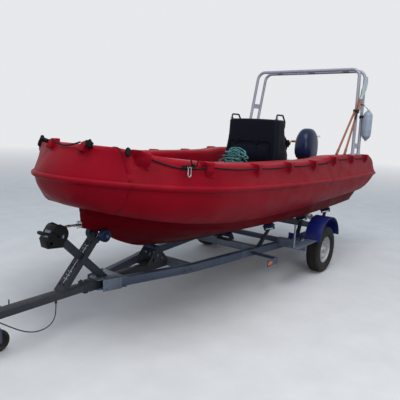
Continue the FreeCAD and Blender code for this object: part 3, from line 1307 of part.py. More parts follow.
def side_roller(x):
    """A roller under the port side of the hull, square to its slope, on a fork and a post."""
    radius, width, y = mm("side_roller_radius"), mm("side_roller_width"), mm("side_roller_y")
    height, slope = bottom(x, y)
    z = height - (radius + 1.5) * math.hypot(1, slope)
    pin_r, along = mm("spindle_radius"), Vector(0, 1, 0)
    roller = Part.makeCylinder(radius, width, Vector(0, -width / 2, 0), along)
    roller = roller.cut(Part.makeCylinder(pin_r + mm("bearing_gap"), width, Vector(0, -width / 2, 0), along))
    fork = [Part.makeCylinder(pin_r, width + 24, Vector(0, -width / 2 - 12, 0), along),
            Part.makeBox(40, width + 14, 6, Vector(-20, -width / 2 - 7, -radius - 16))]
    for start in (-width / 2 - 7, width / 2 + 1):
        fork.append(Part.makeBox(40, 6, radius + 26, Vector(-20, start, -radius - 16)))
    fork = fork[0].fuse(fork[1:])
    for shape in (roller, fork):
        shape.rotate(Vector(), Vector(1, 0, 0), math.degrees(math.atan(slope)))
        shape.translate(Vector(x, y, z))
    low, top = mm("frame_height") + mm("beam_depth") / 2, z - radius - 13
    rail = rail_centre(x)
    stem = polygon([(x - 20, rail - 24, low), (x - 20, rail + 24, low), (x - 20, y + 18, top + 18 * slope),
                    (x - 20, y - 18, top - 18 * slope)])
    return roller, fork.fuse(Part.Face(stem).extrude(Vector(40, 0, 0)))


rollers, brackets = [], []
beam_top = mm("frame_height") + mm("beam_depth") / 2
# Columns: x of a keel roller, half length of its bracket's foot.
for x, foot_half in ((mm("front_roller_x"), 140), (mm("middle_bar_x"), 60), (mm("rear_bar_x"), 60)):
    roller, bracket = keel_roller(x, beam_top, foot_half)
    rollers.append(roller)
    brackets.append(bracket)
for x in (mm("side_roller_ahead"), mm("axle_x"), mm("side_roller_aft")):
    roller, bracket = side_roller(x)
    rollers.append(both(roller))
    brackets.append(both(bracket))
node("hull_rollers", solid(Part.Compound(rollers)))
node("roller_brackets", solid(Part.Compound(brackets)))


# Jockey wheel
def jockey_tube():
    """The outer tube, its clamp on the drawbar's starboard side, and the winding handle."""
    x, y, foot, head = mm("jockey_x"), -mm("jockey_y"), mm("jockey_foot"), mm("jockey_head")
    radius, face = mm("jockey_tube"), mm("drawbar_width") / 2
    outer = Part.makeCylinder(radius, head - foot, Vector(x, y, foot))
    collar_z, deep = mm("frame_height") - 20, 50
    block = Part.makeBox(60, -y - face, deep, Vector(x - 30, y, collar_z))
    ring = Part.makeCylinder(radius + 9, deep, Vector(x, y, collar_z))
    screw = Part.makeCylinder(7, 90, Vector(x - 110, y + radius + 20, collar_z + 25), Vector(1, 0, 0))
    tommy = Part.makeCylinder(5, 90, Vector(x - 104, y + radius + 20, collar_z - 20))
    cap = Part.makeCylinder(radius + 4, 16, Vector(x, y, head - 12))
    stem = Part.makeCylinder(8, 40, Vector(x, y, head))
    arm = Part.makeBox(120, 22, 7, Vector(x - 11, y - 11, head + 34))
    knob = Part.makeCylinder(13, 60, Vector(x + 98, y, head + 38))
    inside = Part.makeCylinder(mm("jockey_leg_radius") + mm("bearing_gap"), head - foot - 18,
                               Vector(x, y, foot))
    return outer.fuse([block, ring, screw, tommy, cap, stem, arm, knob]).cut(inside)


def jockey_leg():
    """The inner leg, with the swivel pin and its head below."""
    x, y = mm("jockey_x"), -mm("jockey_y")
    crown = mm("crown_height")
    leg = Part.makeCylinder(mm("jockey_leg_radius"), mm("jockey_leg_length"), Vector(x, y, crown + 0.1))
    pin = Part.makeCylinder(10, 16, Vector(x, y, crown - 14))
    head = Part.makeCylinder(15, 4, Vector(x, y, crown - mm("crown_thick") - 4.1))
    return leg.fuse([pin, head])


def jockey_fork():
    """The swivelling fork: a crown on the leg's pin, two side plates and the wheel's axle."""
    x, y, crown, thick = mm("jockey_x"), -mm("jockey_y"), mm("crown_height"), mm("crown_thick")
    half, wall, radius = mm("jockey_width") / 2 + 4, mm("fork_thick"), mm("jockey_radius")
    top = Part.makeBox(80, 2 * (half + wall), thick, Vector(x - 50, y - half - wall, crown - thick))
    axle_x = x - mm("jockey_trail")
    parts = []
    for start in (-half - wall, half):
        plate_points = [(x - 50, crown), (x + 24, crown), (axle_x + 18, radius - 8), (axle_x, radius - 18),
                        (axle_x - 18, radius - 8)]
        side_plate = polygon([(a, y + start, b) for a, b in plate_points])
        parts.append(Part.Face(side_plate).extrude(Vector(0, wall, 0)))
    pin = Part.makeCylinder(mm("spindle_radius"), 2 * (half + wall) + 8,
                            Vector(axle_x, y - half - wall - 4, radius), Vector(0, 1, 0))
    hole = Part.makeCylinder(10 + mm("bearing_gap"), 40, Vector(x, y, crown - 20))
    return top.fuse(parts + [pin]).cut(hole)


def jockey_wheel():
    """The small solid wheel, with a dished side."""
    radius, half = mm("jockey_radius"), mm("jockey_width") / 2
    bore = mm("spindle_radius") + mm("bearing_gap")
    profile = [(-half - 2, bore), (-half - 2, 20), (-8, 24), (-8, 56), (-half, 62), (-half, radius - 8),
               (8 - half, radius), (half - 8, radius), (half, radius - 8), (half, 62), (8, 56), (8, 24),
               (half + 2, 20), (half + 2, bore)]
    shape = Part.Face(polygon([(0, y, r) for y, r in profile])).revolve(Vector(), Vector(0, 1, 0), 360)
    shape.translate(Vector(mm("jockey_x") - mm("jockey_trail"), -mm("jockey_y"), radius))
    return shape


node("jockey_tube", solid(jockey_tube()))
node("jockey_leg", solid(jockey_leg()))
node("jockey_fork", solid(jockey_fork()))
node("jockey_wheel", solid(jockey_wheel()))

# The lighting lead's route, from the gland under the drawbar to its plug.
LEAD = [(4956, 20, 295), (4956, 20, 243), (4976, 36, 192), (5020, 52, 156), (5085, 63, 141),
        (5162, 70, 146), (5238, 77, 173), (5308, 83, 215), (5373, 86, 262), (5434, 82, 308),
        (5496, 64, 353), (5560, 64, 353)]
node("lighting_lead", solid(tube(LEAD, mm("lead_radius"), report="lighting_lead")))
node("lead_plug", rod("plug_x", PLUG_Y, "frame_height", "plug_radius", "plug_length", "x"))

document.recompute()
for thing in document.Objects:
    if "Invalid" in thing.State or "Error" in thing.State:
        raise SystemExit(f"{thing.Label} failed: {thing.State}")
for thing in NODES:
    if thing.Shape.isNull() or not thing.Shape.isValid():
        raise SystemExit(f"{thing.Label} has no valid shape")
os.makedirs("parts", exist_ok=True)
for thing in NODES:
    thing.Shape.exportStep(f"parts/{thing.Label}.step")
    print(thing.Label, len(thing.Shape.Solids), "solids", round(thing.Shape.Volume / 1e6, 1), "litres")
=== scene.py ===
"""The looks of a moulded boat of RIB shape on its two-wheeled road trailer.

Everything is in metres: x forward from the middle of the whole, y to port, z up from the floor.
Places along the boat are given from its stern tips and moved aft by at().
"""

import bmesh
import bpy
import json
import math
import random
from bisect import bisect_right
from mathutils import Matrix, Vector

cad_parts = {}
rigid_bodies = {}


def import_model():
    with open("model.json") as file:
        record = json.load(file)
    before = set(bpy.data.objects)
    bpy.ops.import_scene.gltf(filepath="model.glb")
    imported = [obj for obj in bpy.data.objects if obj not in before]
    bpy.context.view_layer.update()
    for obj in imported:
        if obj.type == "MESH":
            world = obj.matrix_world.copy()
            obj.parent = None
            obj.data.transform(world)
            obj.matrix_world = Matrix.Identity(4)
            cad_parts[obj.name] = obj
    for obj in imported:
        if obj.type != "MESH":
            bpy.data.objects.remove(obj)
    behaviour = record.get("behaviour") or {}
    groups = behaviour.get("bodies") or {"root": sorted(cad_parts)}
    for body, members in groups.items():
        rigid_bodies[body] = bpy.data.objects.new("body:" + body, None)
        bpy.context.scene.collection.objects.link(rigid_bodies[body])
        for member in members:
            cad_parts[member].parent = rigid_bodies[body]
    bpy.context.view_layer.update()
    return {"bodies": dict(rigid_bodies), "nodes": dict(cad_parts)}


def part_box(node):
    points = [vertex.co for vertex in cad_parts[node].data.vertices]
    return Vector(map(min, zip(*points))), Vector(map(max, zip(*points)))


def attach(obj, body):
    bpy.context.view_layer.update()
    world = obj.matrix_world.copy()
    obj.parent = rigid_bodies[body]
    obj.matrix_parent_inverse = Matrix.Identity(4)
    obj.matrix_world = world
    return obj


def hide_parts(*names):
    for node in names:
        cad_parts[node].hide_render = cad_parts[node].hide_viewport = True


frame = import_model()
chance = random.Random(7)
scene = bpy.context.scene

STERN = -3.005
PORT, STARBOARD = SIDES = (1, -1)
NAMED_SIDES = ((PORT, "port"), (STARBOARD, "starboard"))


def at(x, y, z):
    """A place given from the stern tips."""
    return Vector((x + STERN, y, z))


# Geometry

def angles(count, start=0.0):
    """Angles that share out a full turn."""
    return [start + 2 * math.pi * k / count for k in range(count)]


def polar(angle, radius):
    """The two parts of a step of a radius in a direction."""
    return radius * math.cos(angle), radius * math.sin(angle)


def linked(name, data):
    """A new object in the scene."""
    thing = bpy.data.objects.new(name, data)
    scene.collection.objects.link(thing)
    return thing


def facing(place, along):
    """A frame at a place, whose z axis runs along a direction."""
    turn = Vector(along).to_track_quat("Z", "Y").to_matrix().to_4x4()
    return Matrix.Translation(Vector(place)) @ turn


def bend(corners, radius, steps=7):
    """A line through corners that are rounded to a radius."""
    corners = [Vector(p) for p in corners]
    path = [corners[0]]
    for before, corner, after in zip(corners, corners[1:], corners[2:]):
        back, ahead = before - corner, after - corner
        turn = math.pi - back.angle(ahead)
        reach = min(radius * math.tan(turn / 2), 0.48 * min(back.length, ahead.length))
        back.normalize()
        ahead.normalize()
        inward = (back + ahead).normalized()
        centre = corner + inward * (reach / math.sin(turn / 2))
        start, end = corner + back * reach - centre, corner + ahead * reach - centre
        for k in range(steps + 1):
            path.append(centre + start.slerp(end, k / steps) * start.length)
    path.append(corners[-1])
    return path


def arc_points(a, b, c, count):
    """Points on the arc from a over b to c, in a plane, with both ends."""
    (ax, ay), (bx, by), (cx, cy) = a, b, c
    squares = [x * x + y * y for x, y in (a, b, c)]
    rises, runs = (by - cy, cy - ay, ay - by), (cx - bx, ax - cx, bx - ax)
    double = 2 * sum(x * rise for x, rise in zip((ax, bx, cx), rises))
    ux, uy = (sum(s * way for s, way in zip(squares, ways)) / double for ways in (rises, runs))
    radius = math.hypot(ax - ux, ay - uy)
    start = math.atan2(ay - uy, ax - ux)
    middle = (math.atan2(by - uy, bx - ux) - start) % (2 * math.pi)
    sweep = (math.atan2(cy - uy, cx - ux) - start) % (2 * math.pi)
    if middle > sweep:
        sweep -= 2 * math.pi
    steps = [polar(start + sweep * k / count, radius) for k in range(count + 1)]
    return [(ux + x, uy + y) for x, y in steps]


def evenly(points, count):
    """A line of points, spaced out again as count even steps."""
    points = [Vector(p) for p in points]
    run = [0]
    for a, b in zip(points, points[1:]):
        run.append(run[-1] + (b - a).length)
    spaced = []
    for k in range(count + 1):
        reach = run[-1] * k / count
        i = min(bisect_right(run, reach), len(points) - 1)
        step = run[i] - run[i - 1]
        share = (reach - run[i - 1]) / step if step else 0
        spaced.append(points[i - 1].lerp(points[i], share))
    return spaced


def rounded_oblong(wide, tall, corner, steps):
    """An oblong between two spans, with its four corners rounded off."""
    (left, right), (low, high) = wide, tall
    middles = ((right - corner, high - corner), (left + corner, high - corner),
               (left + corner, low + corner), (right - corner, low + corner))
    points = []
    for quarter, (x, y) in enumerate(middles):
        for k in range(steps + 1):
            step = polar(math.pi / 2 * (quarter + k / steps), corner)
            points.append((x + step[0], y + step[1]))
    return points


def mirror_profile(half, between=()):
    """A profile of distances and radii, carried on by its mirror image."""
    return half + list(between) + [(-reach, radius) for reach, radius in half[::-1]]


def frames_along(path, loop=False):
    """At each point of a path, two directions across it that turn as little as they can."""
    count = len(path)
    ways = []
    for i in range(count):
        ahead = path[(i + 1) % count] if loop else path[min(i + 1, count - 1)]
        behind = path[i - 1] if loop or i else path[0]
        ways.append((ahead - behind).normalized())
    across = ways[0].orthogonal().normalized()
    pairs = []
    for i, way in enumerate(ways):
        if i:
            across = ways[i - 1].rotation_difference(way) @ across
        across = (across - way * across.dot(way)).normalized()
        pairs.append((across, way.cross(across)))
    return pairs


class Form:
    """The points and faces of a piece, gathered shape by shape."""

    def __init__(self):
        self.points = []
        self.faces = []

    def add(self, points, faces, turn=None):
        first = len(self.points)
        self.points += [turn @ Vector(p) if turn else Vector(p) for p in points]
        self.faces += [[first + i for i in face] for face in faces]
        return self

    def merge(self, *others):
        """This form with others added to it."""
        for other in others:
            self.add(other.points, other.faces)
        return self

    def mirrored(self):
        """This form with its mirror image on the other side of the boat."""
        points = [Vector((p.x, -p.y, p.z)) for p in self.points]
        faces = [face[::-1] for face in self.faces]
        return Form().merge(self).add(points, faces)

    def moved(self, turn):
        return Form().add(self.points, self.faces, turn)

    def skin(self, rows, loop=False, turn=None):
        """A skin over rings of points, closed at its ends or, as a loop, joined to its start."""
        wide, count = len(rows[0]), len(rows)
        faces = []
        for i in range(count if loop else count - 1):
            for k in range(wide):
                here, there = i * wide, (i + 1) % count * wide
                faces.append([here + k, here + (k + 1) % wide, there + (k + 1) % wide, there + k])
        if not loop:
            faces.append(list(range(wide))[::-1])
            faces.append([(count - 1) * wide + k for k in range(wide)])
        return self.add([p for row in rows for p in row], faces, turn)

    def spun(self, profile, place, along, steps=32, closed=False):
        """A profile of distances along a line and radii, turned about that line."""
        rows = [[(*polar(angle, radius), reach) for angle in angles(steps)] for reach, radius in profile]
        return self.skin(rows, loop=closed, turn=facing(place, along))

    def rod(self, start, end, radius, sides=20, round_off=0.0):
        """A straight bar, with its ends rounded off a little."""
        start, end = Vector(start), Vector(end)
        length = (end - start).length
        profile = [(0, radius), (length, radius)]
        if round_off:
            profile = [(0, radius - round_off), (round_off, radius), (length - round_off, radius),
                       (length, radius - round_off)]
        return self.spun(profile, start, end - start, sides)

    def pipe(self, path, radius, sides=12, loop=False):
        """A round bar along a path. The radius is one number, or one for each point."""
        path = [Vector(p) for p in path]
        radii = radius if isinstance(radius, list) else [radius] * len(path)
        ring = [polar(angle, 1) for angle in angles(sides)]
        rows = [[place + (across * u + up * v) * r for u, v in ring]
                for place, (across, up), r in zip(path, frames_along(path, loop), radii)]
        return self.skin(rows, loop=loop)

    def strip(self, path, width, thick, flat, loop=False):
        """A flat band along a path; flat is the direction across its thickness at the start."""
        path = [Vector(p) for p in path]
        rows = []
        for i, place in enumerate(path):
            ahead = path[(i + 1) % len(path)] if loop else path[min(i + 1, len(path) - 1)]
            behind = path[i - 1] if loop or i else path[0]
            way = (ahead - behind).normalized()
            side = way.cross(Vector(flat[i] if isinstance(flat, list) else flat)).normalized()
            face = side.cross(way)
            rows.append([place + side * a * width / 2 + face * b * thick / 2
                         for a, b in ((-1, -0.7), (-0.94, -1), (0.94, -1), (1, -0.7), (1, 0.7), (0.94, 1),
                                      (-0.94, 1), (-1, 0.7))])
        return self.skin(rows, loop=loop)

    def box(self, low, high, turn=None):
        (x0, y0, z0), (x1, y1, z1) = low, high
        return self.skin([[(x0, y0, z), (x1, y0, z), (x1, y1, z), (x0, y1, z)] for z in (z0, z1)], turn=turn)

    def prism(self, outline, start, end):
        """An outline in the plane of x and z, carried across from y start to y end."""
        return self.skin([[(x, y, z) for x, z in outline] for y in (start, end)])

    def plate(self, outline, start, end, width=0.001):
        """An outline given from the stern tips, carried across, with its edges rounded."""
        moved = [(x + STERN, z) for x, z in outline]
        return self.merge(Form().prism(moved, start, end).rounded(width))

    def block(self, low, high, width, segments=2):
        """A box with its edges rounded."""
        return self.merge(Form().box(low, high).rounded(width, segments=segments))

    def bolt(self, place, along, size=0.008):
        """A washer, a hexagon nut and the rounded end of its thread."""
        turn = facing(place, along)
        # Columns: number of sides, angle of the first corner, and heights and radii in sizes.
        for sides, start, profile in (
                (16, 0.0, ((0, 1.15), (0.18, 1.15))),
                (6, chance.random(), ((0.18, 0.86), (0.28, 1), (0.86, 1), (1, 0.84))),
                (10, 0.0, ((1, 0.52), (1.35, 0.52), (1.5, 0.36)))):
            self.skin([[(*polar(angle, size * r), size * z) for angle in angles(sides, start)]
                       for z, r in profile], turn=turn)
        return self

    def node(self, name):
        """The shape of a CAD node, with the lines across its flat faces taken out."""
        bm = bmesh.new()
        bm.from_mesh(frame["nodes"][name].data)
        bmesh.ops.remove_doubles(bm, verts=bm.verts, dist=2e-5)
        bmesh.ops.dissolve_limit(bm, angle_limit=math.radians(1), verts=bm.verts, edges=bm.edges)
        bm.verts.index_update()
        self.add([v.co.copy() for v in bm.verts], [[v.index for v in face.verts] for face in bm.faces])
        bm.free()
        return self

    def object(self, name):
        """This form as an object, with its faces looking outward."""
        mesh = bpy.data.meshes.new(name)
        mesh.from_pydata([tuple(p) for p in self.points], [], self.faces)
        mesh.validate()
        bm = bmesh.new()
        bm.from_mesh(mesh)
        bmesh.ops.recalc_face_normals(bm, faces=bm.faces)
        bm.to_mesh(mesh)
        bm.free()
        return linked(name, mesh)

    def shaped(self, kind, **settings):
        """This form as one modifier leaves it."""
        thing = self.object("draft")
        modifier = thing.modifiers.new("step", kind)
        for key, value in settings.items():
            setattr(modifier, key, value)
        return taken(thing)

    def rounded(self, width=0.002, angle=35, segments=2):
        return self.shaped("BEVEL", width=width, segments=segments, limit_method="ANGLE",
                           angle_limit=math.radians(angle), use_clamp_overlap=False)

    def without(self, other):
        return self.carved(other, "DIFFERENCE")

    def within(self, other):
        return self.carved(other, "INTERSECT")

    def carved(self, other, operation):
        tool = other.object("tool")
        form = self.shaped("BOOLEAN", object=tool, operation=operation, solver="EXACT")
        bpy.data.objects.remove(tool)
        return form

    def piece(self, name, finish, body="root", stands_for=(), sharp=35):
        """The finished piece: named, smooth but for its sharp edges, riding on a body.

        What it stands for is the name of one CAD node or of several.
        """
        thing = self.object(name)
        thing.data.polygons.foreach_set("use_smooth", [True] * len(thing.data.polygons))
        thing.data.set_sharp_from_angle(angle=math.radians(sharp))
        thing.data.materials.append(FINISHES[finish])
        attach(thing, body)
        if stands_for:
            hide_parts(*([stands_for] if isinstance(stands_for, str) else stands_for))
        return thing


def taken(thing):
    """The form that an object has with its modifiers, and the object is deleted."""
    graph = bpy.context.evaluated_depsgraph_get()
    mesh = thing.evaluated_get(graph).to_mesh()
    form = Form().add([v.co.copy() for v in mesh.vertices], [list(face.vertices) for face in mesh.polygons])
    thing.evaluated_get(graph).to_mesh_clear()
    bpy.data.objects.remove(thing)
    return form


def smooth(table, x, column):
    """One column of a table at any x, on a smooth line through its rows."""
    last = len(table) - 1
    i = max(0, min(last - 1, bisect_right([row[0] for row in table], x) - 1))

    def slope(k):
        a, b = table[max(0, k - 1)], table[min(last, k + 1)]
        return (b[column] - a[column]) / (b[0] - a[0])

    low, high = table[i], table[i + 1]
    h = high[0] - low[0]
    t = (x - low[0]) / h
    return ((2 * t ** 3 - 3 * t ** 2 + 1) * low[column] + (t ** 3 - 2 * t ** 2 + t) * h * slope(i)
            + (3 * t ** 2 - 2 * t ** 3) * high[column] + (t ** 3 - t ** 2) * h * slope(i + 1))


def ease(share):
    """A share, kept from 0 to 1, that starts and ends gently."""
    share = max(0.0, min(1.0, share))
    return share * share * (3 - 2 * share)


# Finishes

class Paint:
    """The node tree of one finish, built up step by step."""

    def __init__(self, name, slot=None):
        self.material = bpy.data.materials.new(name)
        self.material.use_nodes = True
        if slot:
            self.material["slot"] = slot
        self.nodes = self.material.node_tree.nodes
        self.links = self.material.node_tree.links
        self.shader = self.nodes["Principled BSDF"]
        self.place = self.node("ShaderNodeTexCoord").outputs["Object"]
        self.relief = None

    def node(self, kind, **settings):
        made = self.nodes.new(kind)
        for key, value in settings.items():
            setattr(made, key, value)
        return made

    def feed(self, socket, value):
        if isinstance(value, bpy.types.NodeSocket):
            self.links.new(value, socket)
        elif isinstance(value, (tuple, list)) and len(value) == 3 and socket.type == "RGBA":
            socket.default_value = (*value, 1)
        else:
            socket.default_value = value

    def pattern(self, kind, stretch=(1, 1, 1), **numbers):
        """A pattern through the piece's own space, that can be stretched."""
        mapping, made = self.node("ShaderNodeMapping"), self.node(kind)
        self.feed(mapping.inputs["Vector"], self.place)
        mapping.inputs["Scale"].default_value = stretch
        self.feed(made.inputs["Vector"], mapping.outputs["Vector"])
        for name, number in numbers.items():
            made.inputs[name].default_value = number
        return made

    def noise(self, scale, detail=4.0, stretch=(1, 1, 1), rough=0.55, twist=0.0):
        """A cloudy value from 0 to 1."""
        return self.pattern("ShaderNodeTexNoise", stretch, Scale=scale, Detail=detail, Roughness=rough,
                            Distortion=twist).outputs["Fac"]

    def cells(self, scale):
        """A value for each of many small cells."""
        split = self.node("ShaderNodeSeparateColor")
        self.feed(split.inputs[0], self.pattern("ShaderNodeTexVoronoi", Scale=scale).outputs["Color"])
        return split.outputs[0]

    def waves(self, scale, direction):
        """Bands across a direction."""
        made = self.pattern("ShaderNodeTexWave", Scale=scale)
        made.bands_direction = direction
        return made.outputs["Fac"]

    def spread(self, value, low, high, start=0.0, end=1.0):
        """A value spread from low..high to start..end."""
        step = self.node("ShaderNodeMapRange", clamp=True)
        for socket, number in zip(step.inputs, (value, low, high, start, end)):
            self.feed(socket, number)
        return step.outputs["Result"]

    def math(self, operation, a, b):
        step = self.node("ShaderNodeMath", operation=operation)
        self.feed(step.inputs[0], a)
        self.feed(step.inputs[1], b)
        return step.outputs[0]

    def mix(self, share, a, b):
        step = self.node("ShaderNodeMix", data_type="RGBA")
        self.feed(step.inputs["Factor"], share)
        self.feed(step.inputs[6], a)
        self.feed(step.inputs[7], b)
        return step.outputs[2]

    def blotched(self, base, over, value, low, high, most=1.0):
        """A colour laid over another where a value is high."""
        return self.mix(self.spread(value, low, high, 0.0, most), base, over)

    def upright(self, vector):
        split = self.node("ShaderNodeSeparateXYZ")
        self.feed(split.inputs[0], vector)
        return split.outputs["Z"]

    def upward(self):
        """How far a face looks up."""
        return self.spread(self.upright(self.node("ShaderNodeNewGeometry").outputs["Normal"]), 0.3, 0.9)

    def height(self, low, high):
        """A share that falls from 1 at the height low to 0 at the height high."""
        return self.spread(self.upright(self.place), low, high, 1.0, 0.0)

    def bump(self, value, depth, strength=1.0):
        step = self.node("ShaderNodeBump")
        step.inputs["Strength"].default_value = strength
        step.inputs["Distance"].default_value = depth
        self.feed(step.inputs["Height"], value)
        if self.relief:
            self.feed(step.inputs["Normal"], self.relief)
        self.relief = step.outputs["Normal"]

    def done(self, colour, rough, metal=0.0, coat=0.0, sheen=0.0, shine=0.5):
        self.feed(self.shader.inputs["Base Color"], colour)
        self.feed(self.shader.inputs["Roughness"], rough)
        self.feed(self.shader.inputs["Metallic"], metal)
        self.shader.inputs["Coat Weight"].default_value = coat
        self.shader.inputs["Sheen Weight"].default_value = sheen
        self.shader.inputs["Specular IOR Level"].default_value = shine
        if self.relief:
            self.feed(self.shader.inputs["Normal"], self.relief)
        return self.material


DUST = (0.15, 0.14, 0.125)
MUD = (0.060, 0.048, 0.036)
RUST = (0.21, 0.085, 0.035)


def tone(colour, share):
    """A colour made lighter or darker."""
    return tuple(min(1.0, part * share) for part in colour)


def moulded(name, colour, slot, rough=0.42, grain=0.00025, grain_scale=260, dust=0.15, scuffs=0.2,
            low_dirt=None, metal=0.0, coat=0.0, shine=0.5):
    """Moulded or painted stuff: uneven tone, fine grain, scuffs, dust on top and dirt low down."""
    p = Paint(name, slot)
    base = p.blotched(tone(colour, 0.86), tone(colour, 1.1), p.noise(2.3, 3), 0.3, 0.72)
    base = p.blotched(base, tone(colour, 0.72), p.noise(34, 5), 0.42, 0.7, 0.22)
    marks = p.spread(p.noise(9, 8, (1, 6, 6), 0.62, 0.4), 0.60, 0.69, 0.0, scuffs)
    base = p.mix(marks, base, tuple(0.8 * part + 0.035 for part in colour))
    dusty = p.math("MULTIPLY", p.upward(), p.spread(p.noise(5.5, 6), 0.42, 0.75, 0.0, dust))
    base = p.mix(dusty, base, DUST)
    if low_dirt:
        splash = p.math("MULTIPLY", p.height(*low_dirt), p.spread(p.noise(7, 7), 0.38, 0.62))
        base = p.mix(splash, base, MUD)
    gloss = p.spread(p.noise(6, 5), 0.3, 0.7, rough - 0.07, rough + 0.09)
    gloss = p.math("ADD", gloss, p.math("MULTIPLY", marks, 0.25))
    p.bump(p.noise(grain_scale, 2), grain)
    p.bump(p.noise(11, 3), 0.0012, 0.5)
    return p.done(base, gloss, metal, coat, shine=shine)


def galvanised(name, colour, slot, rough=0.5, metal=0.75, rust=0.25):
    """Zinc on steel: spangle, runs, dull patches and a little rust."""
    p = Paint(name, slot)
    flake = p.cells(75)
    base = p.blotched(tone(colour, 0.78), tone(colour, 1.16), flake, 0.0, 1.0, 0.7)
    base = p.blotched(base, tone(colour, 0.62), p.noise(3.1, 5), 0.4, 0.68, 0.6)
    base = p.blotched(base, tone(colour, 1.7), p.noise(6, 6, (1, 1, 0.2)), 0.56, 0.7, 0.45)
    rusty = p.spread(p.noise(14, 9, rough=0.68), 0.62, 0.70, 0.0, rust)
    base = p.mix(rusty, base, RUST)
    splash = p.math("MULTIPLY", p.height(0.1, 0.6), p.spread(p.noise(8, 7), 0.45, 0.66, 0.0, 0.35))
    base = p.mix(splash, base, MUD)
    dull = p.math("ADD", p.spread(flake, 0, 1, rough - 0.1, rough + 0.1), p.math("MULTIPLY", rusty, 0.3))
    p.bump(p.noise(150, 3), 0.0003)
    p.bump(p.noise(24, 4), 0.0006, 0.6)
    return p.done(base, dull, metal)


def woven(name, colour, slot):
    """Webbing: a close weave with dusty threads."""
    p = Paint(name, slot)
    weave = p.math("MULTIPLY", p.waves(260, "X"), p.waves(260, "DIAGONAL"))
    base = p.mix(weave, tone(colour, 0.6), tone(colour, 1.5))
    base = p.blotched(base, DUST, p.noise(30, 5), 0.45, 0.7, 0.2)
    p.bump(weave, 0.0008)
    return p.done(base, 0.9, sheen=0.03, shine=0.2)


def fibrous(name, colour, slot, light):
    """Rope: strands of fibre in two tones with fluff on the crowns."""
    p = Paint(name, slot)
    strands = p.noise(160, 6, (1, 1, 3))
    base = p.blotched(colour, light, strands, 0.35, 0.68, 0.5)
    base = p.blotched(base, tone(colour, 0.45), p.noise(4, 4), 0.42, 0.7, 0.4)
    p.bump(strands, 0.0008)
    return p.done(base, 0.9, sheen=0.04, shine=0.2)


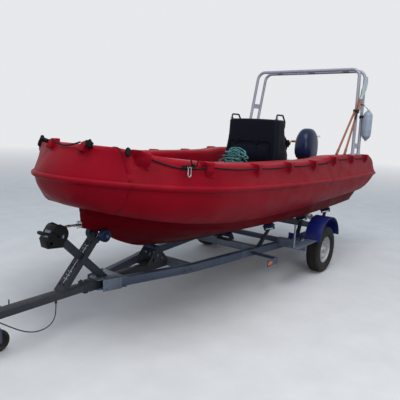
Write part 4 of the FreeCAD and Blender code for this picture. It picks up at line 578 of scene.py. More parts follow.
RED = (0.262, 0.0014, 0.0115)
FINISHES = {
    "shell": moulded("moulded red shell", RED, "shell_red", 0.48, dust=0.03, scuffs=0.04, shine=0.09),
    # The hull bottom is the shell's own red at half its tone: painted shade for the shadow under the collar.
    # Its scuffs and the mud low down are real.
    "bottom": moulded("scuffed red bottom in painted shade", tone(RED, 0.50), "shell_red", 0.55, dust=0.1, scuffs=0.2,
                      low_dirt=(0.42, 0.84), shine=0.04),
    "deck": moulded("red deck with grip", tone(RED, 0.92), "shell_red", 0.5, 0.0009, 150, dust=0.3,
                    scuffs=0.25, shine=0.2),
    "black": moulded("black moulding", (0.0032, 0.0034, 0.0045), "knob_black", 0.5, dust=0.04,
                     scuffs=0.05, shine=0.12),
    "console": moulded("blue-black console", (0.0026, 0.0042, 0.0100), "console_black", 0.52, 0.0004, 330,
                       dust=0.03, scuffs=0.04, shine=0.1),
    "rail": moulded("black coated rail", (0.006, 0.006, 0.007), "rail_steel", 0.35, 0.0001, dust=0.05),
    "seat": moulded("grey seat vinyl", (0.36, 0.37, 0.38), "seat_grey", 0.55, 0.0006, 420, dust=0.3),
    "arch": moulded("white coated arch tube", (0.30, 0.315, 0.385), "arch_white", 0.3, 0.0001, dust=0.2,
                    scuffs=0.35, coat=0.2),
    "fender": moulded("pale fender", (0.30, 0.365, 0.46), "fender_white", 0.4, 0.0002, dust=0.35,
                      scuffs=0.6),
    "shaft": moulded("orange paddle shaft", (0.27, 0.075, 0.030), "paddle_orange", 0.42, dust=0.2),
    "cowl": moulded("navy engine cowl", (0.0070, 0.016, 0.056), "cowl_blue", 0.3, 0.0001, dust=0.02,
                    scuffs=0.04, coat=0.05, shine=0.25),
    "motor": moulded("grey engine paint", (0.035, 0.045, 0.07), "motor_grey", 0.4, 0.0002, dust=0.2),
    "alloy": moulded("bare alloy", (0.42, 0.43, 0.45), "prop_alloy", 0.35, 0.0001, dust=0.2, metal=0.9),
    "guard": moulded("blue mudguard", (0.0035, 0.011, 0.125), "guard_blue", 0.36, 0.0002, dust=0.06,
                     low_dirt=(0.3, 0.56), shine=0.3),
    "roller": moulded("blue roller", (0.003, 0.017, 0.062), "roller_blue", 0.5, 0.0003,
                      dust=0.1, shine=0.3),
    "winch": moulded("black winch paint", (0.0028, 0.0034, 0.0050), "winch_black", 0.42, 0.0003,
                     dust=0.03, shine=0.15),
    "rim": moulded("silver rim paint", (0.45, 0.47, 0.49), "rim_grey", 0.38, 0.0002, dust=0.3,
                   low_dirt=(0.0, 0.5), metal=0.4),
    "tyre": moulded("road tyre", (0.016, 0.016, 0.017), "tyre_black", 0.8, 0.0005, dust=0.2,
                    low_dirt=(-0.25, 0.35), shine=0.25),
    "zinc": galvanised("dull galvanised steel", (0.062, 0.086, 0.138), "galvanised", 0.5, 0.3),
    "pale zinc": galvanised("newer galvanised plate", (0.15, 0.19, 0.25), "plate_pale", 0.45,
                            0.35, rust=0.1),
    "drawbar": galvanised("old galvanised drawbar", (0.013, 0.018, 0.026), "galvanised", 0.6,
                          0.05, rust=0.1),
    "bright zinc": moulded("bright zinc bolts", (0.46, 0.50, 0.56), "plate_pale", 0.4, 0.0001,
                           dust=0, scuffs=0),
    "steel": moulded("worn stainless steel", (0.45, 0.45, 0.44), "rail_steel", 0.3, 0.0001,
                     metal=0.95),
    "amber": moulded("amber reflector", (0.55, 0.11, 0.01), "reflector_amber", 0.15, 0.0001,
                     coat=0.5),
    "blade": moulded("pale paddle blade", (0.45, 0.55, 0.62), "paddle_orange", 0.4, dust=0.3,
                     scuffs=0.5),
    "edged blade": moulded("yellow-green paddle blade", (0.42, 0.50, 0.16), "paddle_orange", 0.4, dust=0.3,
                           scuffs=0.6),
    "dark zinc": galvanised("dark weathered zinc", (0.009, 0.014, 0.024), "galvanised", 0.65,
                            0.05, rust=0.1),
    "lead": moulded("black cable sheath", (0.014, 0.014, 0.015), "lead_black", 0.5, 0.0001, dust=0.35),
    "webbing": woven("black webbing", (0.014, 0.014, 0.016), "webbing_black"),
    "line": fibrous("black lifeline", (0.0030, 0.0034, 0.0045), "line_black", (0.010, 0.011, 0.013)),
    "rope": fibrous("teal mooring rope", (0.028, 0.155, 0.165), "rope_teal", (0.26, 0.50, 0.50)),
}


# Camera and surroundings

def camera():
    """The camera of the photograph, whose frame is 400 by 400."""
    focal_pixels, frame_pixels, sensor = 447.0, 400.0, 36.0
    yaw, pitch, roll = (math.radians(angle) for angle in (217.124, -9.534, 2.672))
    ahead = Vector((math.cos(pitch) * math.cos(yaw), math.cos(pitch) * math.sin(yaw), math.sin(pitch)))
    level = ahead.cross(Vector((0, 0, 1))).normalized()
    upright = level.cross(ahead)
    right = math.cos(roll) * level + math.sin(roll) * upright
    up = math.cos(roll) * upright - math.sin(roll) * level
    data = bpy.data.cameras.new("view")
    data.sensor_width = sensor
    data.lens = focal_pixels / frame_pixels * sensor
    data.clip_end = 200
    heading = Matrix((right, up, -ahead)).transposed().to_4x4()
    scene.camera = linked("view", data)
    scene.camera.matrix_world = Matrix.Translation((3.955, 2.919, 1.742)) @ heading


def lamp(name, place, target, size, power, colour=(1, 1, 1)):
    """A round lamp that looks at a target."""
    data = bpy.data.lights.new(name, "AREA")
    data.shape = "DISK"
    data.size = size
    data.energy = power
    data.color = colour
    linked(name, data).matrix_world = facing(place, Vector(place) - Vector(target))


def surroundings():
    """A pale floor that fades into a pale sky, and soft lamps."""
    p = Paint("pale floor")
    far = p.node("ShaderNodeVectorMath", operation="LENGTH")
    p.feed(far.inputs[0], p.place)
    speckle = p.mix(p.spread(p.noise(3, 6), 0.35, 0.65), (0.66, 0.665, 0.67), (0.71, 0.715, 0.72))
    p.bump(p.noise(60, 4), 0.0006)
    path = p.node("ShaderNodeLightPath").outputs
    seen = p.math("MAXIMUM", path["Is Camera Ray"], path["Is Transmission Ray"])
    seen = p.math("MAXIMUM", seen, path["Is Glossy Ray"])
    p.done(p.mix(seen, (0.20, 0.20, 0.21), speckle), 0.8)
    glow = p.node("ShaderNodeEmission")
    p.feed(glow.inputs["Color"], (0.80, 0.81, 0.83))
    blend = p.node("ShaderNodeMixShader")
    p.feed(blend.inputs[0], p.spread(far.outputs["Value"], 7.0, 24.0))
    p.links.new(p.shader.outputs[0], blend.inputs[1])
    p.links.new(glow.outputs[0], blend.inputs[2])
    p.links.new(blend.outputs[0], p.nodes["Material Output"].inputs["Surface"])
    half = 90
    floor = Form()
    floor.add([(-half, -half, 0), (half, -half, 0), (half, half, 0), (-half, half, 0)], [[0, 1, 2, 3]])
    floor = floor.object("floor")
    floor.data.materials.append(p.material)

    world = bpy.data.worlds.new("sky")
    scene.world = world
    world.use_nodes = True
    nodes, links = world.node_tree.nodes, world.node_tree.links
    seen, light = nodes["Background"], nodes.new("ShaderNodeBackground")
    seen.inputs["Color"].default_value = (0.80, 0.81, 0.83, 1)
    light.inputs["Color"].default_value = (0.80, 0.89, 1.0, 1)
    light.inputs["Strength"].default_value = 0.60
    path, mix = nodes.new("ShaderNodeLightPath"), nodes.new("ShaderNodeMixShader")
    share = path.outputs["Is Camera Ray"]
    for ray in ("Is Glossy Ray", "Is Transmission Ray"):
        most = nodes.new("ShaderNodeMath")
        most.operation = "MAXIMUM"
        links.new(share, most.inputs[0])
        links.new(path.outputs[ray], most.inputs[1])
        share = most.outputs[0]
    links.new(share, mix.inputs[0])
    links.new(light.outputs[0], mix.inputs[1])
    links.new(seen.outputs[0], mix.inputs[2])
    links.new(mix.outputs[0], nodes["World Output"].inputs["Surface"])
    lamp("sky panel", (1.5, 2.0, 7.0), (0, 0, 1.0), 5.0, 260)
    lamp("side panel", (4.5, 6.5, 3.2), (0, 0, 1.0), 3.5, 130, (1.0, 0.95, 0.9))
    scene.view_settings.view_transform = "Standard"


camera()
surroundings()


# Boat lines

STRAKE_HEIGHT, GUNWALE_HEIGHT, JUNCTION_HEIGHT, HALF_BEAM = 1.150, 1.410, 0.850, 0.978
COLLAR_WIDTH, BOTTOM_INSET, STRAKE_BULGE, SEAM_X, NOSE_X = 0.300, 0.200, 0.026, 4.730, 5.000
NOSE_PROUD, NOSE_RISE, NOSE_LEAN = 0.007, 0.030, 0.075
LUG_HALF, LINE_DROP, LINE_SAG, LINE_DEPTH, LINE_RADIUS = 0.044, 0.034, 0.011, 0.026, 0.008
CONSOLE_AFT, CONSOLE_LONG, CONSOLE_TOP, HINGE_X, HINGE_Z = 1.790, 0.370, 1.850, 2.139, 1.560

# Columns: x, inset of the strake, rises of the strake, the gunwale and the collar's lower edge,
# how full the section is, and how far its upper edge leans in.
LINES = [
    (0.00, 0.030, 0.001, 0.012, 0.036, 0.30, 0), (0.07, 0.020, 0.001, 0.012, 0.036, 0.72, 0),
    (0.20, 0.015, 0, 0.014, 0.032, 0.95, 0), (0.30, 0.014, 0, 0.016, 0.030, 1, 0),
    (0.90, 0.009, 0, 0.022, 0.018, 1, 0), (1.70, 0.004, 0.008, 0.027, 0.006, 1, 0),
    (2.05, 0.003, 0.016, 0.002, -0.005, 1, 0), (3.00, 0, 0.043, 0.004, 0.004, 1, 0),
    (3.60, 0.001, 0.070, 0.014, 0.035, 1, 0), (4.05, 0.020, 0.091, 0.038, 0.085, 1, 0),
    (4.30, 0.089, 0.106, 0.058, 0.115, 1, 0.003), (4.50, 0.180, 0.118, 0.085, 0.150, 1, 0.015),
    (4.73, 0.380, 0.132, 0.142, 0.195, 1, 0.048),
]

# Columns: x, half width at the top, half width and height of the chine, height of the keel.
# A half width of 0 means as wide as the collar's lower edge.
HULL = [
    (0.30, 0, 0.690, 0.740, 0.495), (0.90, 0, 0.697, 0.725, 0.492), (1.70, 0, 0.705, 0.716, 0.490),
    (2.05, 0, 0.705, 0.716, 0.490), (3.00, 0, 0.705, 0.755, 0.497), (3.60, 0, 0.690, 0.805, 0.545),
    (4.05, 0.690, 0.560, 0.850, 0.600), (4.30, 0.500, 0.390, 0.895, 0.690),
    (4.50, 0.290, 0.210, 0.930, 0.803), (4.69, 0.040, 0.030, 0.985, 0.863),
]
LUGS = [0.485, 1.075, 1.690, 2.280, 2.885, 3.515, 4.190, 4.640]


def half_beam(x):
    """Half the boat's width over the strake."""
    return min(HALF_BEAM, HALF_BEAM - smooth(LINES, x, 1))


def strake(x):
    """Height of the strake's middle."""
    return STRAKE_HEIGHT + smooth(LINES, x, 2)


def gunwale(x):
    """Height of the collar's top."""
    return GUNWALE_HEIGHT + smooth(LINES, x, 3)


def junction(x):
    """Height of the collar's lower edge."""
    return JUNCTION_HEIGHT + smooth(LINES, x, 4)


def collar_outline(x):
    """The section of the collar as depths in from the beam and heights: inside, over and down."""
    full = max(0.12, min(1.0, smooth(LINES, x, 5)))
    mid = strake(x)
    low, top = mid - full * (mid - junction(x)), mid + full * (gunwale(x) - mid)
    bulge, lip, lean = STRAKE_BULGE * (0.4 + 0.6 * full), 0.045 * full, smooth(LINES, x, 6)
    foot = top - 0.112 * full
    foot_depth = 0.052 + lean - (0.052 + lean - bulge) * (top - lip - foot) / (top - lip - mid - bulge)
    inner = [(COLLAR_WIDTH, low + (top - lip - low) * k / 6) for k in range(6)]
    inner += arc_points((COLLAR_WIDTH, top - lip), (0.286, top - lip * 0.3), (0.250, top), 6)
    inner += [(0.22, top), (0.19, top), (0.165, top)]
    lipped = [Vector((d + lean, z, 0)) for d, z in arc_points((0.105, top), (0.070, top - lip * 0.28),
                                                              (0.052, top - lip), 8)]
    lipped = evenly(lipped + [Vector((foot_depth, foot, 0))], 18)
    lug = [(0.105 + lean, top + 0.001), (0.097, top + 0.008), (0.026, top + 0.008), (0.012, top),
           (0.009, top - 0.014), (0.010, top - 0.070), (foot_depth - 0.004, top - 0.108), (foot_depth, foot)]
    lug = evenly([Vector((d, z, 0)) for d, z in lug], 18)
    side = [(foot_depth + (bulge + 0.003 - foot_depth) * k / 7, foot + (mid + bulge + 0.012 - foot) * k / 7)
            for k in range(1, 8)]
    side += [(bulge + 0.001, mid + bulge + 0.004)]
    side += arc_points((bulge, mid + bulge), (0, mid), (bulge, mid - bulge), 12)
    side += [(bulge + 0.004, mid - bulge - 0.003)]
    side += arc_points((bulge + 0.006, mid - bulge - 0.010), (0.072, low + 0.4 * (mid - low)),
                       (BOTTOM_INSET, low), 14)[1:]
    side += [(BOTTOM_INSET + 0.03, low), (COLLAR_WIDTH - 0.01, low)]
    return inner, lipped, lug, side


def heading_share(x):
    """How much of a length along the collar shows along x where the collar turns inward."""
    return 0.04 / math.hypot(0.04, half_beam(x + 0.02) - half_beam(x - 0.02))


def collar(side):
    """One side of the collar with its moulded strake and its lugs, from the stern tip to the seam."""
    spots = {0.0, 0.015, 0.035, 0.07, 0.11, 0.15, 0.2, 0.25, 0.3, SEAM_X}
    spots |= {round(0.36 + 0.06 * k, 3) for k in range(73) if 0.36 + 0.06 * k < SEAM_X - 0.02}
    edges = (0, 0.45, 0.93, 1.03, 1.08, 1.18, 1.5)
    for lug in LUGS:
        half = LUG_HALF * heading_share(lug)
        spots = {x for x in spots if abs(x - lug) > 1.55 * half or x in (0.0, SEAM_X)}
        spots |= {lug + way * edge * half for edge in edges for way in (-1, 1)}
    rows = []
    for x in sorted(x for x in spots if x <= SEAM_X):
        inner, lipped, lug, outer = collar_outline(x)
        near = min(LUGS, key=lambda place: abs(place - x))
        off = abs(x - near) / (LUG_HALF * heading_share(near))
        raised = ease((1.12 - off) / 0.14)
        row = [(x, depth, z) for depth, z in inner]
        for k, (plain, block) in enumerate(zip(lipped, lug)):
            spot = plain.lerp(block, raised)
            taper = 1 - 0.46 * ease((k - 8) / 3) if off < 1.5 else 1
            row.append((near + (x - near) * taper, spot.x, spot.y))
        row += [(x, depth, z) for depth, z in outer]
        rows.append([at(along, side * (half_beam(x) - depth), z) for along, depth, z in row])
    return Form().skin(rows)


def nose_outline(inset, height, slope, back, count):
    """One level of the nose, from the port seam round the blunt front to the starboard seam."""
    wide = half_beam(SEAM_X)
    out = inset - NOSE_PROUD
    start = (SEAM_X, wide - out)
    shoulder = (NOSE_X - 0.55 * back - 0.098 - 0.75 * out, 0.622 * wide - 0.66 * out - 0.3 * back)
    corner = (NOSE_X - back - 0.020 - out, 0.318 * wide - 0.3 * out)
    half = arc_points(start, shoulder, corner, 18)
    half += arc_points(corner, (NOSE_X - back - out, 0), (corner[0], -corner[1]), 16)[1:9]
    half = evenly([Vector((x, y, 0)) for x, y in half], count)
    full = half + [Vector((p.x, -p.y, 0)) for p in half[-2::-1]]
    return [at(p.x, p.y, height + slope * (p.x - SEAM_X)) for p in full]


def nose():
    """The fatter moulding round the bow, whose upper part leans back, with its lugs."""
    mid, top, low = strake(SEAM_X), gunwale(SEAM_X), junction(SEAM_X)
    _, lipped, _, outer = collar_outline(SEAM_X)
    outline = [(COLLAR_WIDTH - 0.02, low)] + outer[::-1] + [(p.x, p.y) for p in lipped[::-1]]
    outline += [(0.15, top), (0.25, top)]
    heights, slopes = (low, mid, top), (0.20, 0.07, NOSE_RISE / (NOSE_X - SEAM_X))
    rows = []
    for depth, z in outline:
        # Levels rise forward: most at the bottom, least at the top.
        i = 0 if z < mid else 1
        share = (z - heights[i]) / (heights[i + 1] - heights[i])
        slope = slopes[i] + (slopes[i + 1] - slopes[i]) * share
        back = NOSE_LEAN * max(0.0, (z - mid - STRAKE_BULGE) / (top - mid - STRAKE_BULGE)) ** 1.8
        rows.append(nose_outline(depth, z, slope, back, 32))
    body = Form().skin(rows)
    crest = top + NOSE_RISE - 0.006
    face = [(-0.100, 0.007), (-0.056, 0.008), (-0.034, -0.003), (-0.008, -0.042), (-0.001, -0.062),
            (-0.020, -0.070), (-0.070, -0.070), (-0.100, -0.030)]
    for y in (-0.200, 0.200):
        lug = Form().prism([(NOSE_X - NOSE_LEAN - 0.055 + STERN + x, crest + z) for x, z in face],
                           y - 0.028, y + 0.028)
        body.merge(lug.rounded(0.005, segments=3))
    return body


def bottom():
    """The vee bottom with its chines and keel, and the engine well cut out of its stern."""
    rows = []
    count = 64
    for k in range(count + 1):
        x = 0.30 + (4.69 - 0.30) * k / count
        wide = smooth(HULL[6:], x, 1) if x > 4.05 else half_beam(x) - BOTTOM_INSET
        if 3.6 < x <= 4.05:
            wide += (0.690 - half_beam(4.05) + BOTTOM_INSET) * (x - 3.6) / 0.45
        chine, chine_z, keel = (smooth(HULL, x, column) for column in (2, 3, 4))
        top = junction(x)
        foot = min(0.022, chine * 0.3)
        half = [(foot * 0.8, keel), (foot, keel + 0.012)]
        for share in (0.25, 0.5, 0.75, 0.93):
            half.append((foot + (chine - foot) * share,
                         keel + 0.014 + (chine_z - keel - 0.014) * share - 0.010 * math.sin(math.pi * share)))
        half += [(chine - 0.006, chine_z - 0.002), (chine + 0.002, chine_z + 0.006),
                 (chine + 0.004, chine_z + 0.018)]
        for share in (0.25, 0.5, 0.75, 1):
            half.append((chine + 0.004 + (wide - chine - 0.004) * share,
                         chine_z + 0.018 + (top - chine_z - 0.018) * share))
        rows.append([at(x, -y, z) for y, z in half[::-1]] + [at(x, y, z) for y, z in half])
    well = Form().box(at(-0.1, -0.300, 0.2), at(0.662, 0.300, 1.6))
    return Form().skin(rows).without(well)


def shell_pieces():
    """The red shell and what is moulded or set into it."""
    for side, word in NAMED_SIDES:
        collar(side).piece(f"{word}_collar", "shell", "root", f"collar_{word}", 50)
    nose().piece("bow_nose", "shell", "root", "nose", 50)
    seams = Form()
    _, lipped, _, outer = collar_outline(SEAM_X)
    for side in SIDES:
        line = [at(SEAM_X - 0.001, side * (half_beam(SEAM_X) - depth), z) for depth, z in
                [(0.190, gunwale(SEAM_X))] + [(p.x, p.y) for p in lipped] + outer[:-4]]
        seams.pipe(line, 0.0045, 8)
    seams.piece("bow_seams", "black")
    bottom().piece("hull_bottom", "bottom", "root", "hull", 40)
    softened("deck", "inner_deck", "deck", 0.012, segments=3)
    softened("transom", "transom_board", "deck", 0.005)
    softened("towing_eyes", "towing_rings", "steel", 0.003)
    softened("seat_box", "helm_seat_box", "deck", 0.015, segments=4)


# Lines and knobs on the collar

def line_run(side, aft, ahead):
    """The middle of the lifeline from one lug to the next, with its sag."""
    path = []
    steps = 22
    for k in range(steps + 1):
        share = k / steps
        x = aft + share * (ahead - aft)
        sag = LINE_SAG * (3 if ahead > 4.5 else 1) * 4 * share * (1 - share)
        path.append(at(x, side * (half_beam(x) - LINE_DEPTH), gunwale(x) - LINE_DROP - sag))
    return path


def laid_rope(path, radius):
    """Three strands laid round each other along a path."""
    pitch = 0.045
    length = sum((b - a).length for a, b in zip(path, path[1:]))
    count = max(8, round(length / 0.008))
    path = evenly(path, count)
    form = Form()
    for strand in range(3):
        lay = []
        for k, (place, (across, up)) in enumerate(zip(path, frames_along(path))):
            u, v = polar(2 * math.pi * (k * length / count / pitch + strand / 3), 1)
            lay.append(place + (across * u + up * v) * 0.48 * radius)
        form.pipe(lay, 0.54 * radius, 6)
    return form


def knot(place, size, radius, turn=0.0):
    """A pulled knot: a rope that goes three times round through itself."""
    path = [Vector((math.sin(t) + 2 * math.sin(2 * t), math.cos(t) - 2 * math.cos(2 * t), -math.sin(3 * t)))
            * size / 3 for t in angles(60)]
    lie = Matrix.Rotation(turn, 4, "X") @ Matrix.Rotation(0.9, 4, "Y")
    return Form().pipe(path, radius, 8, loop=True).moved(Matrix.Translation(place) @ lie)


def lifelines():
    """Rope from lug to lug along each side."""
    for side, word in NAMED_SIDES:
        form = Form()
        for aft, ahead in zip(LUGS, LUGS[1:]):
            form.merge(laid_rope(line_run(side, aft, ahead), LINE_RADIUS))
        form.piece(f"{word}_lifeline", "line", "root", f"lifeline_{word}", 60)


def bow_lines():
    """The short lines over the nose, and the knots and tails tied into the port line."""
    crest = gunwale(SEAM_X) + NOSE_RISE
    form = Form()
    span = [at(4.842 + 0.016 * math.sin(math.pi * k / 16), 0.175 - 0.35 * k / 16,
               crest - 0.006 - 0.034 * math.sin(math.pi * k / 16)) for k in range(17)]
    form.merge(laid_rope(span, 0.007))
    for side in SIDES:
        form.merge(laid_rope([at(4.830, side * 0.222, crest - 0.012), at(4.842, side * 0.250, crest - 0.020),
                              at(4.840, side * 0.275, crest - 0.018)], 0.007))
    form.piece("bow_lines", "line", sharp=60)

    ties = Form()
    for x, drop, size, turn in ((4.415, 0.058, 0.017, 0.2), (4.385, 0.050, 0.016, 1.3),
                                (4.335, 0.036, 0.014, 2.3)):
        place = at(x, half_beam(x) - LINE_DEPTH + 0.006, gunwale(x) - drop)
        ties.merge(knot(place, size, 0.0065, turn))
    for x, rise, out, curl in ((4.350, 0.036, 0.010, 0.022), (4.315, 0.030, 0.016, -0.018)):
        foot = at(x, half_beam(x) - LINE_DEPTH, gunwale(x) - 0.040)
        tip = foot + Vector((curl, 0.012, rise + 0.022))
        ties.merge(laid_rope([foot, foot + Vector((0.2 * curl, out, 0.5 * rise)), tip], 0.006))
    ties.piece("line_knots", "line", sharp=60)

    x = 4.372
    top = at(x, half_beam(x) - LINE_DEPTH + 0.010, gunwale(x) - 0.050)
    half = ((1, 0.0), (1, -0.035), (1.1, -0.055))
    bow = [top + Vector((-0.017 * way, 0.004, drop)) for way, drop in half]
    bow += [top + Vector((0, 0.006, -0.078))]
    bow += [top + Vector((0.017 * way, 0.004, drop)) for way, drop in half[::-1]]
    shackle = Form().pipe(bend(bow, 0.016, 5), 0.0042, 10)
    shackle.rod(top + Vector((-0.027, 0.004, 0)), top + Vector((0.029, 0.004, 0)), 0.0045, 12, 0.001)
    shackle.piece("line_shackle", "steel")


def knobs():
    """On each bow: a star-shaped handwheel on the nose and an upright oval stop beside the seam."""
    form = Form()
    for side in SIDES:
        for x, y, z, heading in ((4.846, 0.284, 1.567, 42), (4.700, 0.532, 1.520, 58)):
            turn = math.radians(heading)
            along = Vector((math.cos(turn), side * math.sin(turn), 0.35)).normalized()
            place = at(x, side * y, z)
            star = heading == 42
            rows = []
            profile = [(-0.074, 0.018), (0.004, 0.018), (0.006, 0.030), (0.010, 0.033), (0.024, 0.033),
                       (0.030, 0.028), (0.032, 0.012)]
            for reach, radius in profile:
                row = []
                for angle in angles(50):
                    lobe = 1 if reach < 0.005 else 0.87 + 0.13 * math.cos(5 * angle)
                    width = lobe if star else 0.66
                    tall = lobe if star else 1.0
                    row.append((radius * width * math.cos(angle), radius * tall * math.sin(angle), reach))
                rows.append(row)
            form.skin(rows, turn=facing(place, along))
    form.piece("bow_knobs", "black", "root", "lifeline_knobs", 40)


# Console and helm

def rounded_level(aft, front, half, height, corner, steps=7):
    """A level outline with its four upright corners rounded."""
    return [at(x, y, height) for x, y in rounded_oblong((aft, front), (-half, half), corner, steps)]


def console_solid(inset):
    """The console's outer form, or that form set in by a wall."""
    aft, front, head = CONSOLE_AFT, CONSOLE_AFT + CONSOLE_LONG, CONSOLE_TOP
    top_front = front - 0.050
    top_aft = top_front - 0.215
    low = 0.950 if inset <= 0 else 0.949
    rows = []
    for off, z in ((0, low), (0.010, 1.420)):
        row = rounded_level(aft + off + inset, front - 2 * off - inset, 0.390 - 1.4 * off - inset, z,
                            0.045 - inset)
        rows.append(evenly(row + row[:1], 96)[:-1])
    for k in range(8):
        turn = math.radians(90 * k / 7)
        off = inset + 0.026 * (1 - math.cos(turn))
        level = head - inset - 0.034 + 0.026 * math.sin(turn)
        row = rounded_level(top_aft + off, top_front - off, 0.352 - off, level, 0.050 - inset, 5)
        long_row = evenly(row + row[:1], 96)[:-1]
        rows.append([Vector((p.x, p.y, p.z + 0.008 * (1 - (p.y / 0.352) ** 2))) for p in long_row])
    return Form().skin(rows)


def hatch_prism(grow, corner=0.030):
    """A rounded oblong through the console's front, as wide and high as the hatch opening."""
    half, foot, head = 0.290 + grow, 1.306 - grow, 1.565 + grow
    outline = rounded_oblong((-half, half), (foot, head), corner, 5)
    front = CONSOLE_AFT + CONSOLE_LONG
    return Form().skin([[at(x, y, z) for y, z in outline] for x in (front - 0.10, front + 0.05)])


def console():
    """The hollow console with its dash, and the hatch lid in its front."""
    shell = console_solid(0).without(console_solid(0.009)).without(hatch_prism(0))
    frame_ring = hatch_prism(0.030, 0.050).without(hatch_prism(0.012, 0.040))
    border = console_solid(-0.004).within(frame_ring).without(console_solid(0.003))
    shell.merge(border.rounded(0.0015, 50))
    # The dash: a panel, a row of switches and two round instruments above the helm.
    for y in (-0.20, -0.10):
        place = at(1.866, y, 1.800)
        shell.spun([(-0.01, 0.040), (0.004, 0.040), (0.008, 0.036), (0.005, 0.032), (0.004, 0.005)],
                   place, Vector((-1, 0, 0.35)), 28)
    for k in range(4):
        y = 0.02 + 0.034 * k
        shell.block(at(1.848, y, 1.790), at(1.870, y + 0.020, 1.822), 0.003)
    leaves(shell, 0.032, HINGE_Z, 1.605, knuckles=(-0.75, 0.75))
    shell.piece("helm_console", "console", "root", "console", 40)

    lid = console_solid(0).without(console_solid(0.009)).within(hatch_prism(-0.006, 0.026))
    raised = console_solid(-0.0035).within(hatch_prism(-0.040, 0.030)).without(console_solid(0.004))
    lid.merge(raised.rounded(0.002, 50))
    leaves(lid, 0.015, 1.519, HINGE_Z, knuckles=(0,))
    for y in (-0.182, 0.103):
        for reach, radius in ((0.0, 0.017), (0.004, 0.010)):
            lid.spun([(-0.006 + reach, radius), (0.004 + reach, radius), (0.006 + reach, radius - 0.002)],
                     at(2.1345, y, 1.500), (1, 0, 0.08), 24)
    lid.piece("console_hatch_lid", "console", "console_hatch", "console_hatch", 40)


def leaves(form, half, low, high, knuckles):
    """Hinge knuckles on the hatch's hinge line, with a leaf each on the face beside them."""
    for y in (-0.192, 0.092):
        for share in knuckles:
            middle, wide = y + 0.028 * share, 0.010 if share else 0.0145
            ends = [at(HINGE_X, middle + way * wide, HINGE_Z) for way in (-1, 1)]
            form.rod(*ends, 0.007, 16, 0.001)
        form.block(at(2.1245, y - half, low), at(2.1365, y + half, high), 0.001)


def rails_and_helm():
    """The grab rails, the steering wheel and the throttle."""
    rails = Form()
    front, aft, high, low = 2.110, 1.895, CONSOLE_TOP + 0.050, CONSOLE_TOP - 0.100
    for side in SIDES:
        y = side * 0.320
        corners = ((front - 0.031, CONSOLE_TOP - 0.012), (front - 0.036, high), (aft + 0.030, high),
                   (aft - 0.034, (high + low) / 2), (aft - 0.034, low), (aft - 0.006, low - 0.007))
        rails.pipe(bend([at(x, y, z) for x, z in corners], 0.020), 0.0105, 16)
        rails.spun([(0, 0.024), (0.005, 0.024), (0.008, 0.013)], at(front - 0.032, y, CONSOLE_TOP - 0.002),
                   (0, 0, 1), 24)
    rails.piece("console_rails", "rail", "root", "grab_rails")

    wheel = Form()
    tilt = math.radians(25)
    along = Vector((math.cos(tilt), 0, -math.sin(tilt)))
    turn = facing(at(1.700, 0.120, 1.560), -along)
    rim = [(*polar(angle, 0.168), 0) for angle in angles(96)]
    grip = [0.013 - 0.0012 * (k % 6 == 0) for k in range(96)]
    wheel.merge(Form().pipe(rim, grip, 12, loop=True).moved(turn))
    for k in range(3):
        spin = turn @ Matrix.Rotation(math.radians(120 * k + 90), 4, "Z")
        spoke = [(0.02, -0.020), (0.158, -0.013), (0.158, 0.013), (0.02, 0.020)]
        plate = Form().skin([[(x, y, z) for x, y in spoke] for z in (-0.0035, 0.0035)])
        for x in (0.055, 0.085, 0.115):
            plate = plate.without(Form().rod((x, 0, -0.02), (x, 0, 0.02), 0.0075, 16))
        wheel.merge(plate.rounded(0.001).moved(spin))
    wheel.merge(Form().spun([(-0.039, 0.030), (0.002, 0.032), (0.008, 0.030), (0.012, 0.020), (0.013, 0.004)],
                            (0, 0, 0), (0, 0, 1), 32).moved(turn))
    wheel.piece("helm_wheel", "black", "helm", "steering_wheel")

    base = Form().block(at(1.748, 0.315, 1.515), at(1.806, 0.351, 1.605), 0.006, 3)
    base.rod(at(1.770, 0.347, 1.560), at(1.770, 0.368, 1.560), 0.021, 28, 0.003)
    base.piece("throttle_box", "black", "root", "throttle")
    reach = [at(x, 0.359, z) for x, z in ((1.770, 1.560), (1.728, 1.592), (1.652, 1.590))]
    lever = Form().pipe(bend(reach, 0.03), 0.0085, 14)
    lever.rod(at(1.650, 0.329, 1.590), at(1.650, 0.389, 1.590), 0.014, 22, 0.005)
    lever.piece("throttle_lever", "shaft")


# Cushion

def cushion():
    """The helm seat's padded top: swollen by a cloth simulation, then piped along its seams."""
    low, high = (Vector(corner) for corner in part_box("seat_cushion"))
    middle, half = (low + high) / 2, (high - low) / 2
    rows = []
    for k in range(13):
        turn = math.pi * (k / 12 - 0.5)
        reach = math.copysign(abs(math.sin(turn)) ** 0.8, turn)
        pull = 0.010 + 0.012 * (1 - math.cos(turn) ** 0.5) if abs(turn) < 1.57 else 0.022
        outline = rounded_level(low.x - STERN + pull, high.x - STERN - pull, half.y - pull,
                                middle.z + reach * (half.z - 0.012), 0.050)
        rows.append(outline)
    pad = Form().skin(rows)
    pad = swollen(pad, 0.008)
    pad = pad.shaped("SUBSURF", levels=1, render_levels=1)
    for p in pad.points:
        p.z = max(low.z + 0.001, p.z)
    seams = Form()
    for z in (low.z + 0.016, high.z - 0.014):
        ring = []
        for p in rounded_level(low.x - STERN + 0.006, high.x - STERN - 0.006, half.y - 0.006, z, 0.052, 8):
            near = min((q for q in pad.points if abs(q.z - z) < 0.012), key=lambda q: (q - p).length)
            ring.append(Vector((near.x, near.y, z)))
        ring = evenly(ring + ring[:1], 90)[:-1]
        seams.pipe(ring, 0.0035, 8, loop=True)
    pad.merge(seams)
    thing = pad.piece("helm_cushion", "seat", "root", "seat_cushion", 70)


